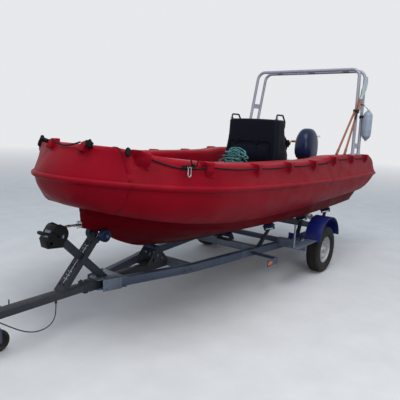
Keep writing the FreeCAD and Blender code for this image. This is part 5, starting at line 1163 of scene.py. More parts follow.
def swollen(form, most):
    """A closed form after a short cloth simulation with pressure, no point moved further than most."""
    thing = form.shaped("REMESH", mode="VOXEL", voxel_size=0.007).object("pad")
    start = [v.co.copy() for v in thing.data.vertices]
    cloth = thing.modifiers.new("cloth", "CLOTH")
    cloth.settings.use_pressure = True
    cloth.settings.uniform_pressure_force = 4
    cloth.settings.effector_weights.gravity = 0
    cloth.point_cache.frame_start = 1
    cloth.point_cache.frame_end = 20
    for step in range(1, 21):
        scene.frame_set(step)
    graph = bpy.context.evaluated_depsgraph_get()
    swelled = [v.co.copy() for v in thing.evaluated_get(graph).data.vertices]
    scene.frame_set(1)
    thing.modifiers.remove(cloth)
    for vertex, old, new in zip(thing.data.vertices, start, swelled):
        move = new - old
        if move.length > most:
            move = move.normalized() * most
        vertex.co = old + move
    return taken(thing)


# Arch and what hangs on it

ARCH_FRONT, ARCH_STEP, ARCH_LEAN, ARCH_TUBE = 0.850, 0.232, 0.170, 0.022
ARCH_REAR, ARCH_HEAD = ARCH_FRONT - ARCH_STEP, 2.609 - ARCH_TUBE
FENDER_RADIUS = 0.062


def hoop(foot_x):
    """The corners of a hoop's middle line, from its port foot to its starboard foot."""
    foot, head_x = gunwale(foot_x) + 0.014, foot_x - ARCH_LEAN
    return [at(foot_x, 0.855, foot), at(head_x, 0.785, ARCH_HEAD), at(head_x, -0.785, ARCH_HEAD),
            at(foot_x, -0.855, foot)]


def on_leg(foot_x, height, side):
    """The middle of a hoop's leg at a height."""
    foot, head = hoop(foot_x)[:2]
    place = foot.lerp(head, (height - foot.z) / (head.z - foot.z))
    return Vector((place.x, side * place.y, height))


def drill(place, half, radius):
    """A round bar to cut a hole with, half its length on either side of a place."""
    return Form().rod(place - Vector(half), place + Vector(half), radius, 16)


def arch():
    """Two hoops of tube with bolted feet, joined by drilled ties."""
    form = Form()
    for x in (ARCH_FRONT, ARCH_REAR):
        form.pipe(bend(hoop(x), 0.110, 10), ARCH_TUBE, 24)
        for side in SIDES:
            foot = Vector((hoop(x)[0].x, side * hoop(x)[0].y, gunwale(x)))
            form.spun([(0.001, 0.038), (0.012, 0.038), (0.015, 0.036), (0.017, 0.027), (0.030, 0.023)],
                      foot, (0, 0, 1), 32)
            for angle in angles(4, math.pi / 4):
                form.bolt(foot + Vector((*polar(angle, 0.0305), 0.015)), (0, 0, 1), 0.005)
    for side in SIDES:
        for height in (1.520, 2.040):
            start, end = on_leg(ARCH_REAR, height, side), on_leg(ARCH_FRONT, height, side)
            tie = Form().box((start.x, start.y - 0.003, height), (end.x, start.y + 0.003, height + 0.070))
            for share in (0.3, 0.7):
                spot = Vector((start.x + share * (end.x - start.x), start.y, height + 0.035))
                tie = tie.without(drill(spot, (0, 0.02, 0), 0.009))
            form.merge(tie.rounded(0.0012))
    for y in (-0.520, 0, 0.520):
        start = at(ARCH_REAR - ARCH_LEAN, y, ARCH_HEAD)
        tie = Form().box(start + Vector((0, -0.045, -0.003)), start + Vector((ARCH_STEP, 0.045, 0.003)))
        for x in (0.080, 0.152):
            tie = tie.without(drill(start + Vector((x, 0, 0)), (0, 0, 0.02), 0.005))
        form.merge(tie.rounded(0.0012))
    form.piece("arch_hoops", "arch", "root", "arch")


def fender():
    """The ribbed fender that hangs from the rear hoop, and its lanyard."""
    rear = on_leg(ARCH_REAR, 1.840, PORT)
    place = rear + Vector((0.040, ARCH_TUBE + FENDER_RADIUS + 0.016, 0))
    half = [(0.05, 0.0625), (0.108, 0.062), (0.112, 0.0605), (0.125, 0.0615), (0.142, 0.0595), (0.158, 0.053),
            (0.172, 0.042), (0.184, 0.027), (0.192, 0.018), (0.200, 0.0165), (0.214, 0.015), (0.214, 0.006)]
    profile = [(-reach, radius) for reach, radius in half[::-1]] + half
    form = Form().spun(profile, place, (0, 0, 1), 48)
    for angle in angles(12):
        for way in (1, -1):
            rib = [place + Vector((*polar(angle, radius), way * reach))
                   for radius, reach in ((0.017, 0.196), (0.0385, 0.176), (0.055, 0.155))]
            form.pipe(rib, [0.002, 0.003, 0.002], 6)
    form.piece("hanging_fender", "fender", "root", "fender")
    rise = [place + Vector((-0.004, 0, 0.206)), place + Vector((-0.010, -0.020, 0.225)),
            Vector((rear.x - 0.040, rear.y + 0.024, 2.098)),
            Vector((rear.x - 0.058, rear.y + 0.005, 2.112))]
    top = on_leg(ARCH_REAR, 2.110, PORT)
    hitch = [top + Vector((*polar(2 * math.pi * k / 10 + 0.6, 0.0275), 0.010 * k / 10)) for k in range(1, 20)]
    laid_rope(bend(rise, 0.03) + hitch, 0.004).piece("fender_lanyard", "line", sharp=60)


def paddle_frame(number):
    """A paddle's place: its grip's foot at the origin and its shaft along z."""
    foot_x = 1.430 - number * 0.199
    y = 0.852 + number * 0.030
    foot = at(foot_x, y, gunwale(foot_x) + 0.018)
    top = at(foot_x - 0.680 + number * 0.240, y, 2.200)
    turn = math.atan2(top.x - foot.x, top.z - foot.z)
    return Matrix.Translation(foot) @ Matrix.Rotation(turn, 4, "Y"), (top - foot).length


def paddles():
    """Two paddles that stand against the arch, grips down and blades up."""
    shafts = Form()
    for number in (0, 1):
        turn, reach = paddle_frame(number)
        shaft = Form().spun([(-0.006, 0.010), (-0.002, 0.0165), (0.078, 0.0165), (0.086, 0.0143),
                             (0.09, 0.0138), (reach * 0.5, 0.0135), (reach - 0.03, 0.0138)],
                            (0, 0, 0), (0, 0, 1), 24)
        for k in range(5):
            shaft.spun([(0.008 + 0.014 * k, 0.0162), (0.010 + 0.014 * k, 0.017), (0.014 + 0.014 * k, 0.017),
                        (0.016 + 0.014 * k, 0.0162)], (0, 0, 0), (0, 0, 1), 24)
        shafts.merge(shaft.moved(turn))
        rows = []
        # Columns: reach up the blade, half width, half thickness.
        for z, wide, thick in ((-0.030, 0.0145, 0.0140), (0.0, 0.018, 0.012), (0.035, 0.034, 0.0065),
                               (0.070, 0.058, 0.0050), (0.100, 0.072, 0.0042), (0.150, 0.0748, 0.0040),
                               (0.230, 0.0735, 0.0038), (0.265, 0.068, 0.0036), (0.295, 0.055, 0.0034),
                               (0.315, 0.038, 0.0032), (0.326, 0.020, 0.0030)):
            row = []
            for angle in angles(24):
                x, y = wide * math.cos(angle), thick * math.sin(angle)
                if abs(y) > 0.001:
                    y += math.copysign(0.0025 * math.exp(-(x / 0.012) ** 2), y)
                row.append((x, y, reach + z))
            rows.append(row)
        blade = Form().skin(rows).moved(turn)
        blade.piece(f"paddle_blade_{number + 1}", "blade" if number else "edged blade")
    shafts.piece("paddle_shafts", "shaft", "root", "paddles")


def wrapped(corners, height):
    """The level way of a strap round what it ties: rounded corners, a little higher on one side."""
    corners = [Vector(corner) for corner in corners]
    path = []
    for i, here in enumerate(corners):
        back, ahead = corners[i - 1] - here, corners[(i + 1) % len(corners)] - here
        reach = min(0.020, 0.45 * back.length, 0.45 * ahead.length)
        start, end = here + back.normalized() * reach, here + ahead.normalized() * reach
        for k in range(7):
            t = k / 6
            path.append(start * (1 - t) ** 2 + here * 2 * t * (1 - t) + end * t * t)
    low, wide = min(p.x for p in path), max(p.x for p in path) - min(p.x for p in path)
    return [Vector((p.x, p.y, height + 0.008 * (p.x - low) / wide)) for p in path]


def straps():
    """Webbing round the port legs, the paddles and the fender, with its buckle."""
    front, rear = on_leg(ARCH_FRONT, 2.016, PORT), on_leg(ARCH_REAR, 1.950, PORT)
    spots = []
    for number in (0, 1):
        turn, _ = paddle_frame(number)
        foot = turn.translation
        along = (turn @ Vector((0, 0, 1))) - foot
        spots.append(foot + along * ((2.016 - foot.z) / along.z))
    form = Form()
    round_paddles = [(front.x - 0.026, front.y - 0.025), (front.x + 0.018, front.y - 0.026),
                     (spots[0].x + 0.020, spots[0].y - 0.016), (spots[0].x + 0.021, spots[1].y + 0.014),
                     (spots[1].x - 0.018, spots[1].y + 0.017), (front.x - 0.027, front.y + 0.024)]
    fender_x = rear.x + 0.040
    fender_y = rear.y + ARCH_TUBE + FENDER_RADIUS + 0.010
    round_fender = [(rear.x - 0.027, rear.y - 0.026), (rear.x + 0.024, rear.y - 0.027)]
    for degrees in range(-20, 201, 20):
        x, y = polar(math.radians(degrees), 0.068)
        round_fender.append((fender_x + x, fender_y + y))
    for corners, height in ((round_paddles, 2.012), (round_fender, 1.948)):
        path = wrapped(corners, height)
        path = evenly(path + path[:1], 90)[:-1]
        form.strip(path, 0.036, 0.003, outward(path), loop=True)
    knot_place = Vector((spots[0].x + 0.021, spots[1].y + 0.010, 2.012))
    tail = [knot_place + Vector(step) for step in (
        (-0.012, 0.004, 0.004), (0.014, 0.012, 0), (0.030, 0.010, -0.030), (0.046, 0.006, -0.070),
        (0.072, 0.008, -0.105))]
    tail = evenly(bend(tail, 0.02), 30)
    form.strip(tail, 0.034, 0.0025, (0.2, 1, 0))
    form.piece("lashing_webbing", "webbing", "root", "lashing_straps")
    buckle = Form().block((-0.022, -0.003, -0.022), (0.022, 0.004, 0.022), 0.002)
    buckle.rod((-0.020, 0.004, 0.012), (0.020, 0.004, 0.012), 0.0035, 12)
    buckle.moved(Matrix.Translation((front.x + 0.060, spots[1].y + 0.0185, 2.014))
                 @ Matrix.Rotation(math.radians(180), 4, "Z")).piece("strap_buckle", "steel")


def outward(path):
    """Directions out of a closed level band, one for each point of its path."""
    middle = sum(path, Vector()) / len(path)
    flats = []
    for i, place in enumerate(path):
        out = (path[(i + 1) % len(path)] - path[i - 1]).cross(Vector((0, 0, 1))).normalized()
        flats.append(out if out.dot(place - middle) > 0 else -out)
    return flats


# Engine

def superlevel(aft, front, half, height, power=3.2):
    """A level outline between an oval and an oblong."""
    middle, reach = (aft + front) / 2, (front - aft) / 2
    row = []
    for angle in angles(56):
        u, v = (math.copysign(abs(share) ** (2 / power), share) for share in polar(angle, 1))
        row.append(at(middle + reach * u, half * v, height))
    return row


def cowl():
    """The engine's cover with its air intakes, seal and latch."""
    aft, front, half, foot, top = 0.230, 0.670, 0.140, 1.330, 1.764
    # Columns: share of the height, insets aft, ahead and at the side, how square the outline is.
    levels = [(0, 0.030, 0.052, 0.020, 3.2), (0.08, 0.012, 0.020, 0.006, 3.2),
              (0.2, 0.003, 0.004, 0.001, 3.1), (0.38, 0, 0, 0, 3.0), (0.55, 0.004, 0.008, 0.003, 2.9),
              (0.70, 0.018, 0.026, 0.012, 2.7), (0.82, 0.042, 0.056, 0.027, 2.5),
              (0.91, 0.076, 0.092, 0.047, 2.4), (0.965, 0.112, 0.126, 0.069, 2.3),
              (0.99, 0.145, 0.156, 0.090, 2.2), (1, 0.180, 0.184, 0.110, 2.1)]
    rows = []
    count = 44
    for k in range(count + 1):
        share = 1 - (1 - k / count) ** 1.7
        back, ahead, side, power = (smooth(levels, min(share, 1.0), column) for column in (1, 2, 3, 4))
        groove = 0.004 * math.exp(-((share - 0.20) / 0.010) ** 2)
        rows.append(superlevel(aft + back + groove, front - ahead - groove, half - side - groove,
                               foot + share * (top - foot), power))
    body = Form().skin(rows)
    # Air intakes: a hooded slot high on each side near the back.
    for side in SIDES:
        slot = Form().box(at(0.262, side * 0.095, 1.630), at(0.335, side * 0.150, 1.668))
        body = body.without(slot)
        for k in range(3):
            z = 1.637 + 0.0095 * k
            body.box(at(0.262, side * 0.110, z), at(0.335, side * 0.133, z + 0.0035))
    body.piece("engine_cowl", "cowl", "motor", "motor_cowl", 38)
    rows = [superlevel(aft + 0.020 + off, front - 0.036 - off, half - 0.012 - off, z) for z, off in (
        (1.327, 0.014), (1.327, 0.004), (1.332, 0.001), (1.340, 0.004), (1.340, 0.014))]
    Form().skin(rows).piece("cowl_seal", "black", "motor")
    latch = Form().block(at(0.225, -0.030, 1.322), at(0.245, 0.030, 1.352), 0.004)
    latch.piece("cowl_latch", "black", "motor")


def engine_leg():
    """The leg with its water intakes and bolts, and the pan under the cover."""
    form = Form().node("motor_leg").rounded(0.004, 40, 3)
    for side in SIDES:
        for k in range(5):
            z = 0.470 + 0.014 * k
            form.block(at(0.300, side * 0.020, z), at(0.365, side * 0.0255, z + 0.006), 0.001)
        for x, z in ((0.36, 1.285), (0.45, 1.290), (0.54, 1.288)):
            form.bolt(at(x, side * 0.094, z), (0, side, -0.6), 0.006)
        for x, z in ((0.345, 0.800), (0.345, 0.700), (0.420, 0.640)):
            form.bolt(at(x, side * 0.031, z), (0, side, 0), 0.006)
    form.plate([(0.345, 0.590), (0.385, 0.590), (0.375, 0.560), (0.350, 0.560)], -0.004, 0.004)
    form.piece("engine_leg", "motor", "motor", "motor_leg", 38)
    rows = [superlevel(*level) for level in (
        (0.330, 0.550, 0.066, 1.262), (0.312, 0.568, 0.078, 1.270), (0.290, 0.598, 0.096, 1.300),
        (0.266, 0.632, 0.113, 1.322), (0.262, 0.636, 0.115, 1.328))]
    Form().skin(rows).piece("cowl_pan", "cowl", "motor")


def screw_blades():
    """The propeller: three twisted blades on a tapered hub with an exhaust bore."""
    length, root, tip = 0.090, 0.022, 0.130
    place = at(0.175, 0, 0.400)
    form = Form().spun([(0, 0.0100), (0, 0.0245), (0.004, 0.0256), (length - 0.004, 0.0315), (length, 0.030),
                        (length, 0.0100)], place, (1, 0, 0), 40, closed=True)
    for k in range(3):
        rows = []
        for i in range(15):
            share = i / 14
            reach = root + share * (tip - root)
            chord = 0.056 + 0.052 * math.sin(math.pi * min(1, share * 1.05) ** 0.9) - 0.034 * share ** 6
            chord *= math.sqrt(max(0.02, 1 - max(0, share - 0.62) ** 2 / 0.150))
            pitch = math.radians(52 - 30 * share)
            thick = 0.0045 - 0.0032 * share
            sweep = 0.010 * share ** 2
            row = []
            for turn in angles(18):
                along, off = 0.5 * chord * math.cos(turn), thick * math.sin(turn)
                off += 0.05 * chord * (math.cos(turn) ** 2 - 0.5)
                x = along * math.sin(pitch) + off * math.cos(pitch)
                y = along * math.cos(pitch) - off * math.sin(pitch) + sweep
                row.append((x, y, reach))
            rows.append(row)
        lie = Matrix.Translation(place + Vector((length / 2, 0, 0)))
        form.merge(Form().skin(rows).moved(lie @ Matrix.Rotation(math.radians(120 * k), 4, "X")))
    form.piece("screw_propeller", "alloy", "propeller", "propeller", 50)


def engine():
    """The outboard engine from its clamp to its propeller."""
    softened("motor_clamp", "clamp_bracket", "motor", 0.003, segments=3)
    softened("motor_swivel", "swivel_bracket", "motor", 0.004, segments=3)
    cowl()
    engine_leg()
    screw_blades()


# Wheels

AXLE_X, TRACK_HALF, TYRE_RADIUS = 1.700, 0.865, 0.285


def tyre(side, word):
    """A road tyre with four grooves round it, cut shoulders and ringed walls."""
    wall = [(-0.054, 0.164), (-0.058, 0.163), (-0.066, 0.168), (-0.073, 0.180), (-0.0755, 0.196),
            (-0.0775, 0.200), (-0.0775, 0.204), (-0.0755, 0.208), (-0.0765, 0.232), (-0.0775, 0.236),
            (-0.0775, 0.240), (-0.0762, 0.244), (-0.0752, 0.256), (-0.0715, 0.267), (-0.066, 0.2745),
            (-0.0615, 0.2795), (-0.054, 0.2825)]
    tread = []
    for groove in (-0.044, -0.015, 0.015, 0.044):
        crown = TYRE_RADIUS - 0.7 * groove ** 2
        tread += [(groove - 0.0042, crown), (groove - 0.0030, crown - 0.0075),
                  (groove + 0.0030, crown - 0.0075), (groove + 0.0042, crown)]
    profile = mirror_profile(wall, tread)
    rows = []
    for k, turn in enumerate(angles(144)):
        cut = k % 4 == 0
        fine = k % 4 == 2
        row = []
        for y, r in profile:
            if cut and abs(y) > 0.046 and r > 0.262:
                r -= 0.0055 * ease((abs(y) - 0.046) / 0.008) * (1 if r > 0.272 else 0.5)
            if fine and 0.019 < abs(y) < 0.041 and r > 0.28:
                r -= 0.004
            ahead, up = r * math.sin(turn), r * math.cos(turn)
            row.append(at(AXLE_X + ahead, side * (TRACK_HALF + y), TYRE_RADIUS + up))
        rows.append(row)
    form = Form().skin(rows, loop=True)
    form.piece(f"{word}_tyre", "tyre", f"wheel_{word}", f"tyre_{word}", 32)


def rim(side, word):
    """A pressed steel rim with round holes, its nuts and a hub cap."""
    bore, hub, bead = 0.0186, 0.045, 0.165
    profile = [(-0.056, bead + 0.004), (-0.060, bead + 0.006), (-0.0615, bead + 0.002),
               (-0.058, bead - 0.008), (-0.048, bead - 0.012), (-0.030, bead - 0.016),
               (0.004, bead - 0.030), (0.018, bead - 0.030),
               (0.022, bead - 0.040), (0.030, 0.112), (0.034, 0.100), (0.026, 0.084), (0.012, 0.066),
               (-0.034, hub), (-0.034, bore), (0.044, bore), (0.044, 0.034), (0.041, 0.038), (0.024, 0.046),
               (0.020, 0.062), (0.0315, 0.082), (0.041, 0.098), (0.038, 0.112), (0.030, 0.122),
               (0.028, bead - 0.024), (0.036, bead - 0.014), (0.048, bead - 0.004), (0.058, bead),
               (0.0615, bead + 0.006), (0.060, bead + 0.009), (0.056, bead + 0.004), (0.040, bead + 0.003),
               (-0.040, bead - 0.006)]
    place = at(AXLE_X, side * TRACK_HALF, TYRE_RADIUS)
    form = Form().spun(profile, place, (0, side, 0), 72, closed=True)
    for turn in angles(8):
        spot = place + Vector((0.114 * math.sin(turn), 0, 0.114 * math.cos(turn)))
        form = form.without(Form().rod(spot - Vector((0, 0.05, 0)), spot + Vector((0, 0.06, 0)), 0.0125, 20))
    form = form.rounded(0.0009, 50, 1)
    for turn in angles(4, math.pi / 4):
        spot = place + Vector((0.070 * math.sin(turn), side * 0.022, 0.070 * math.cos(turn)))
        form.bolt(spot, (0, side, 0), 0.0095)
    form.spun([(0.040, 0.0335), (0.048, 0.0335), (0.057, 0.031), (0.062, 0.024), (0.0635, 0.006)], place,
              (0, side, 0), 36)
    form.piece(f"{word}_rim", "rim", f"wheel_{word}", f"rim_{word}", 38)


def mudguards():
    """The guards over both wheels, with rolled edges."""
    form = Form().node("mudguards").rounded(0.001)
    lip = Form()
    for y in (0.767, 0.965):
        path = [polar(math.radians(8 + 164 * k / 48), 0.3015) for k in range(49)]
        lip.pipe([at(AXLE_X + ahead, y, 0.395 + up) for ahead, up in path], 0.0052, 10)
    form.merge(lip.mirrored())
    for side in SIDES:
        for way in (1, -1):
            x = AXLE_X + way * 0.293
            form.bolt(at(x, side * 0.790, 0.475), (way, 0, 0.2), 0.006)
            form.bolt(at(x, side * 0.590, 0.300), (way, 0, 0), 0.007)
    form.piece("wheel_guards", "guard", "root", "mudguards", 35)


# Trailer steel

def bolted(*rows):
    """Bolts on the port side and again on the starboard side. Columns: place, direction, size."""
    form = Form()
    for (x, y, z), (u, v, w), size in rows:
        for side in SIDES:
            form.bolt(at(x, side * y, z), (u, side * v, w), size)
    return form


def clamp_bolt(form, x, y, low, high, half):
    """A bent bolt over a beam with its two nuts below."""
    corners = [(x, y - half, low), (x, y - half, high), (x, y + half, high), (x, y + half, low)]
    form.pipe(bend([at(*corner) for corner in corners], 0.02, 5), 0.005, 8)
    for way in (-1, 1):
        form.bolt(at(x, y + way * half, low + 0.012), (0, 0, -1), 0.0085)


def trailer_frame():
    """The steel frame with its plates, clamps, bolts and coupling."""
    nose_plate = bolted(*[((x, y, 0.401), (0, 0, 1), 0.009) for x, y in (
        (4.40, 0.105), (4.52, 0.060), (4.36, 0.135))])
    softened("drawbar", "trailer_drawbar", "drawbar", 0.004, segments=3)
    softened("side_rails", "trailer_side_rails", "zinc", 0.004, bolted(
        ((3.665, 0.365, 0.353), (0.1, 1, 0), 0.008), ((3.735, 0.345, 0.353), (0.1, 1, 0), 0.008)),
        segments=3)
    softened("cross_members", "trailer_cross_members", "pale zinc", 0.003, nose_plate)
    # The pale plate over the joint of rail and drawbar, with the dark clamp beside it.
    for side, word in NAMED_SIDES:
        plate = Form().block((-0.090, -0.004, -0.052), (0.090, 0.004, 0.052), 0.003)
        turn = Matrix.Rotation(-side * math.radians(15.7), 4, "Z")
        place = Matrix.Translation(at(4.462, side * 0.1255, 0.352)) @ turn
        plate = plate.moved(place)
        for x in (-0.06, 0.06):
            for z in (-0.03, 0.03):
                plate.bolt(place @ Vector((x, side * 0.004, z)), (0.27, side, 0), 0.006)
        plate.piece(f"joint_plate_{word}", "pale zinc")
    clamp = Form()
    for aft, front, proud in ((4.545, 4.640, 0.0035), (4.655, 4.695, 0.006)):
        half = 0.040 + proud
        clamp.block(at(aft, -half, 0.313 - proud), at(front, half, 0.393 + proud), 0.004, 3)
    clamp.merge(bolted(
        ((4.570, 0.0435, 0.335), (0, 1, 0), 0.007), ((4.570, 0.0435, 0.372), (0, 1, 0), 0.007),
        ((4.615, 0.0435, 0.335), (0, 1, 0), 0.007), ((4.675, 0.030, 0.399), (0, 0, 1), 0.008)))
    clamp.piece("drawbar_clamp", "dark zinc")
    axle_bolts = Form()
    clamp_y = 0.535
    for x in (AXLE_X - 0.045, AXLE_X + 0.045):
        for side in SIDES:
            clamp_bolt(axle_bolts, x, side * clamp_y, 0.246, 0.399, 0.036)
    for side in SIDES:
        axle_bolts.block(at(AXLE_X - 0.065, side * clamp_y - 0.048, 0.247),
                         at(AXLE_X + 0.065, side * clamp_y + 0.048, 0.253), 0.001)
    softened("axle", "trailer_axle", "zinc", 0.003, axle_bolts)
    softened("foot_plates", "step_plates", "pale zinc", 0.0015, treads())
    softened("marker_brackets", "side_marker_brackets", "zinc", 0.0012)
    reflectors()
    softened("roller_brackets", "hull_roller_brackets", "dark zinc", 0.002, bolted(
        ((3.78, 0.071, 0.400), (0, 0, 1), 0.008), ((3.92, 0.071, 0.400), (0, 0, 1), 0.008)))
    softened("coupling", "ball_coupling", "zinc", 0.005, bolted(
        ((5.78, 0.046, 0.353), (0, 1, 0), 0.009), ((5.83, 0.042, 0.353), (0, 1, 0), 0.009)), segments=3)


def treads():
    """The raised bars of the step plates' tread, and a cap on each guide post."""
    form = Form()
    post_x, post_y = 2.520, 0.880
    for i in range(16):
        for j in range(4):
            x, y = 2.050 + 0.030 * i, 0.832 + 0.032 * j
            if abs(x - post_x) < 0.02 and abs(y - post_y) < 0.02:
                continue
            way = 1 if (i + j) % 2 else -1
            lie = Matrix.Translation(at(x, y, 0.4598)) @ Matrix.Rotation(way * math.pi / 4, 4, "Z")
            form.box((-0.011, -0.0022, 0), (0.011, 0.0022, 0.0018), lie)
    form.spun([(0, 0.0125), (0.010, 0.0125), (0.013, 0.010)], at(post_x, post_y, 0.7035), (0, 0, 1), 20)
    return form.mirrored()


def reflectors():
    """Amber reflectors with a moulded rim and a ribbed face."""
    low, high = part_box("side_reflectors")
    x0, face, z0 = low[0], high[1], low[2]
    half, faces = 0.0018, [[0, 1, 4], [1, 2, 4], [2, 3, 4], [3, 0, 4], [3, 2, 1, 0]]
    form = Form().block((x0, face - 0.008, z0), (x0 + 0.090, face - 0.002, z0 + 0.034), 0.002)
    for i in range(20):
        for j in range(7):
            x, z = x0 + 0.0075 + 0.0039 * i, z0 + 0.0052 + 0.0039 * j
            corners = ((x - half, z - half), (x + half, z - half), (x + half, z + half), (x - half, z + half))
            form.add([(u, face - 0.002, v) for u, v in corners] + [(x, face - 0.0002, z)], faces)
    form.mirrored().piece("amber_reflectors", "amber", "root", "side_reflectors", 20)


# Bow support and winch

PIN_RADIUS, BOW_ROLLER_X, BOW_ROLLER_Z = 0.0085, 4.520, 0.786


def bar_frame(foot, head):
    """A leaning bar's place: its foot at the origin, its run along z, its width along y."""
    (foot_x, foot_z), (head_x, head_z) = foot, head
    turn = math.atan2(head_x - foot_x, head_z - foot_z)
    return Matrix.Translation(at(foot_x, 0, foot_z)) @ Matrix.Rotation(turn, 4, "Y")


def roller(form, middle, along, half, ridges, steps):
    """A rubber roller spun about its pin, from the profile of one end and that of the ridges between."""
    return form.spun(mirror_profile(half, ridges), middle, along, steps, closed=True)


def bow_support():
    """The posts at the bow and all rollers that carry the hull."""
    place = bar_frame((4.890, 0.393), (4.565, 0.765))
    face = 0.0225
    bolts_and_highlight, hole_shades = Form(), Form()
    outward_way = place.to_3x3() @ Vector((1, 0, 0))
    for side in SIDES:
        for z in (0.085, 0.118, 0.151, 0.335, 0.368, 0.401):
            bolts_and_highlight.spun([(0, 0.0052), (0.0012, 0.0052), (0.0022, 0.003)],
                          place @ Vector((face, side * 0.0165, z)), outward_way, 12)
        # Thin black discs on the post's face stand in for its holes: painted shade where the holes look dark.
        for z in (0.030, 0.205, 0.290, 0.435):
            hole_shades.spun([(0, 0.0095), (0.0008, 0.0095), (0.0012, 0.008)],
                      place @ Vector((face, side * 0.026, z)), outward_way, 14)
    # A bright zinc line along one edge of the post's slot is a painted highlight: the glint of that lit edge.
    slot_edge_highlight = [place @ Vector((face + 0.0006, 0.0052, z)) for z in (0.045, 0.400)]
    bolts_and_highlight.pipe(slot_edge_highlight, 0.0024, 8)
    bolts_and_highlight.piece("bow_post_bolts_and_highlight", "bright zinc")
    hole_shades.piece("bow_post_hole_shades", "black")
    softened("bow_post", "bow_support_channel", "dark zinc", 0.003, segments=2)
    softened("winch_post", "winch_support_post", "dark zinc", 0.006, segments=3)
    rollers = Form()
    half = [(-0.024, PIN_RADIUS), (-0.024, 0.019), (-0.014, 0.024), (-0.012, 0.038), (-0.021, 0.044),
            (-0.024, 0.049), (-0.022, 0.0525), (-0.012, 0.054), (-0.009, 0.0530), (-0.006, 0.054),
            (-0.002, 0.054)]
    for side in SIDES:
        middle = at(BOW_ROLLER_X, side * 0.082, BOW_ROLLER_Z)
        roller(rollers, middle, (0, 1, 0), half, [(0, 0.0525)], 44)
        for way in (1, -1):
            for angle in angles(8, math.pi / 8):
                turn = Matrix.Translation(middle) @ Matrix.Rotation(angle, 4, "Y")
                near = way * 0.0115 - 0.0015 * (1 - way)
                rollers.box((0.020, near, -0.002), (0.045, way * 0.0185, 0.002), turn)
    rollers.piece("bow_roller_pair", "roller", "root", "bow_rollers")
    nuts = Form()
    for side in SIDES:
        nuts.bolt(at(BOW_ROLLER_X, side * 0.114, BOW_ROLLER_Z), (0, side, 0), 0.0105)
    nuts.piece("roller_nuts", "pale zinc")
    hull_rollers = Form()
    radius, wide = 0.034, 0.080
    half = [(-wide, PIN_RADIUS), (-wide, radius - 0.003), (-wide + 0.003, radius)]
    ridges = []
    for k in range(-6, 7):
        y, crown = k * 0.0115, radius - 0.0005 - 0.004 * (1 - abs(k) / 6)
        ridges += [(y - 0.0035, crown), (y + 0.0035, crown), (y + 0.0055, radius - 0.006)]
    for x in (3.850, 2.560, 0.760):
        roller(hull_rollers, at(x, 0, keel_roller_height(x)), (0, 1, 0), half, ridges, 36)
    side_rollers(hull_rollers)
    hull_rollers.piece("hull_roller_set", "roller", "root", "hull_rollers")


def keel_at(x):
    """Height of the keel between the hull's stations."""
    for low, high in zip(HULL, HULL[1:]):
        if x <= high[0]:
            rise = (high[4] - low[4]) / (high[0] - low[0])
            return low[4] + (x - low[0]) * rise


def keel_roller_height(x):
    """Height of a roller that touches the keel."""
    rise = (keel_at(x + 0.05) - keel_at(x - 0.05)) / 0.1
    return keel_at(x) - 0.035 * math.hypot(1, rise)


def side_rollers(form):
    """Rollers under the sides of the hull, square to its slope, with pale ends."""
    out = 0.575
    half, ridges = [(-0.055, PIN_RADIUS), (-0.055, 0.026), (-0.051, 0.0295)], []
    for k in range(-3, 4):
        y = k * 0.0125
        ridges += [(y - 0.004, 0.0298), (y + 0.004, 0.0298), (y + 0.006, 0.0265)]
    ends = Form()
    for x in (2.560, 1.700, 0.930):
        low = max((row for row in HULL if row[0] <= x), key=lambda row: row[0])
        high = min((row for row in HULL if row[0] > x), key=lambda row: row[0])
        share = (x - low[0]) / (high[0] - low[0])
        chine, chine_z, keel = (low[i] + share * (high[i] - low[i]) for i in (2, 3, 4))
        slope = (chine_z - keel) / chine
        height = keel + slope * out - 0.0315 * math.hypot(1, slope)
        for side in SIDES:
            along = Vector((0, 1, side * slope)).normalized()
            middle = at(x, side * out, height)
            roller(form, middle, along, half, ridges, 32)
            for way in (1, -1):
                ends.bolt(middle + along * way * 0.066, along * way, 0.0095)
    ends.piece("roller_pin_nuts", "pale zinc")


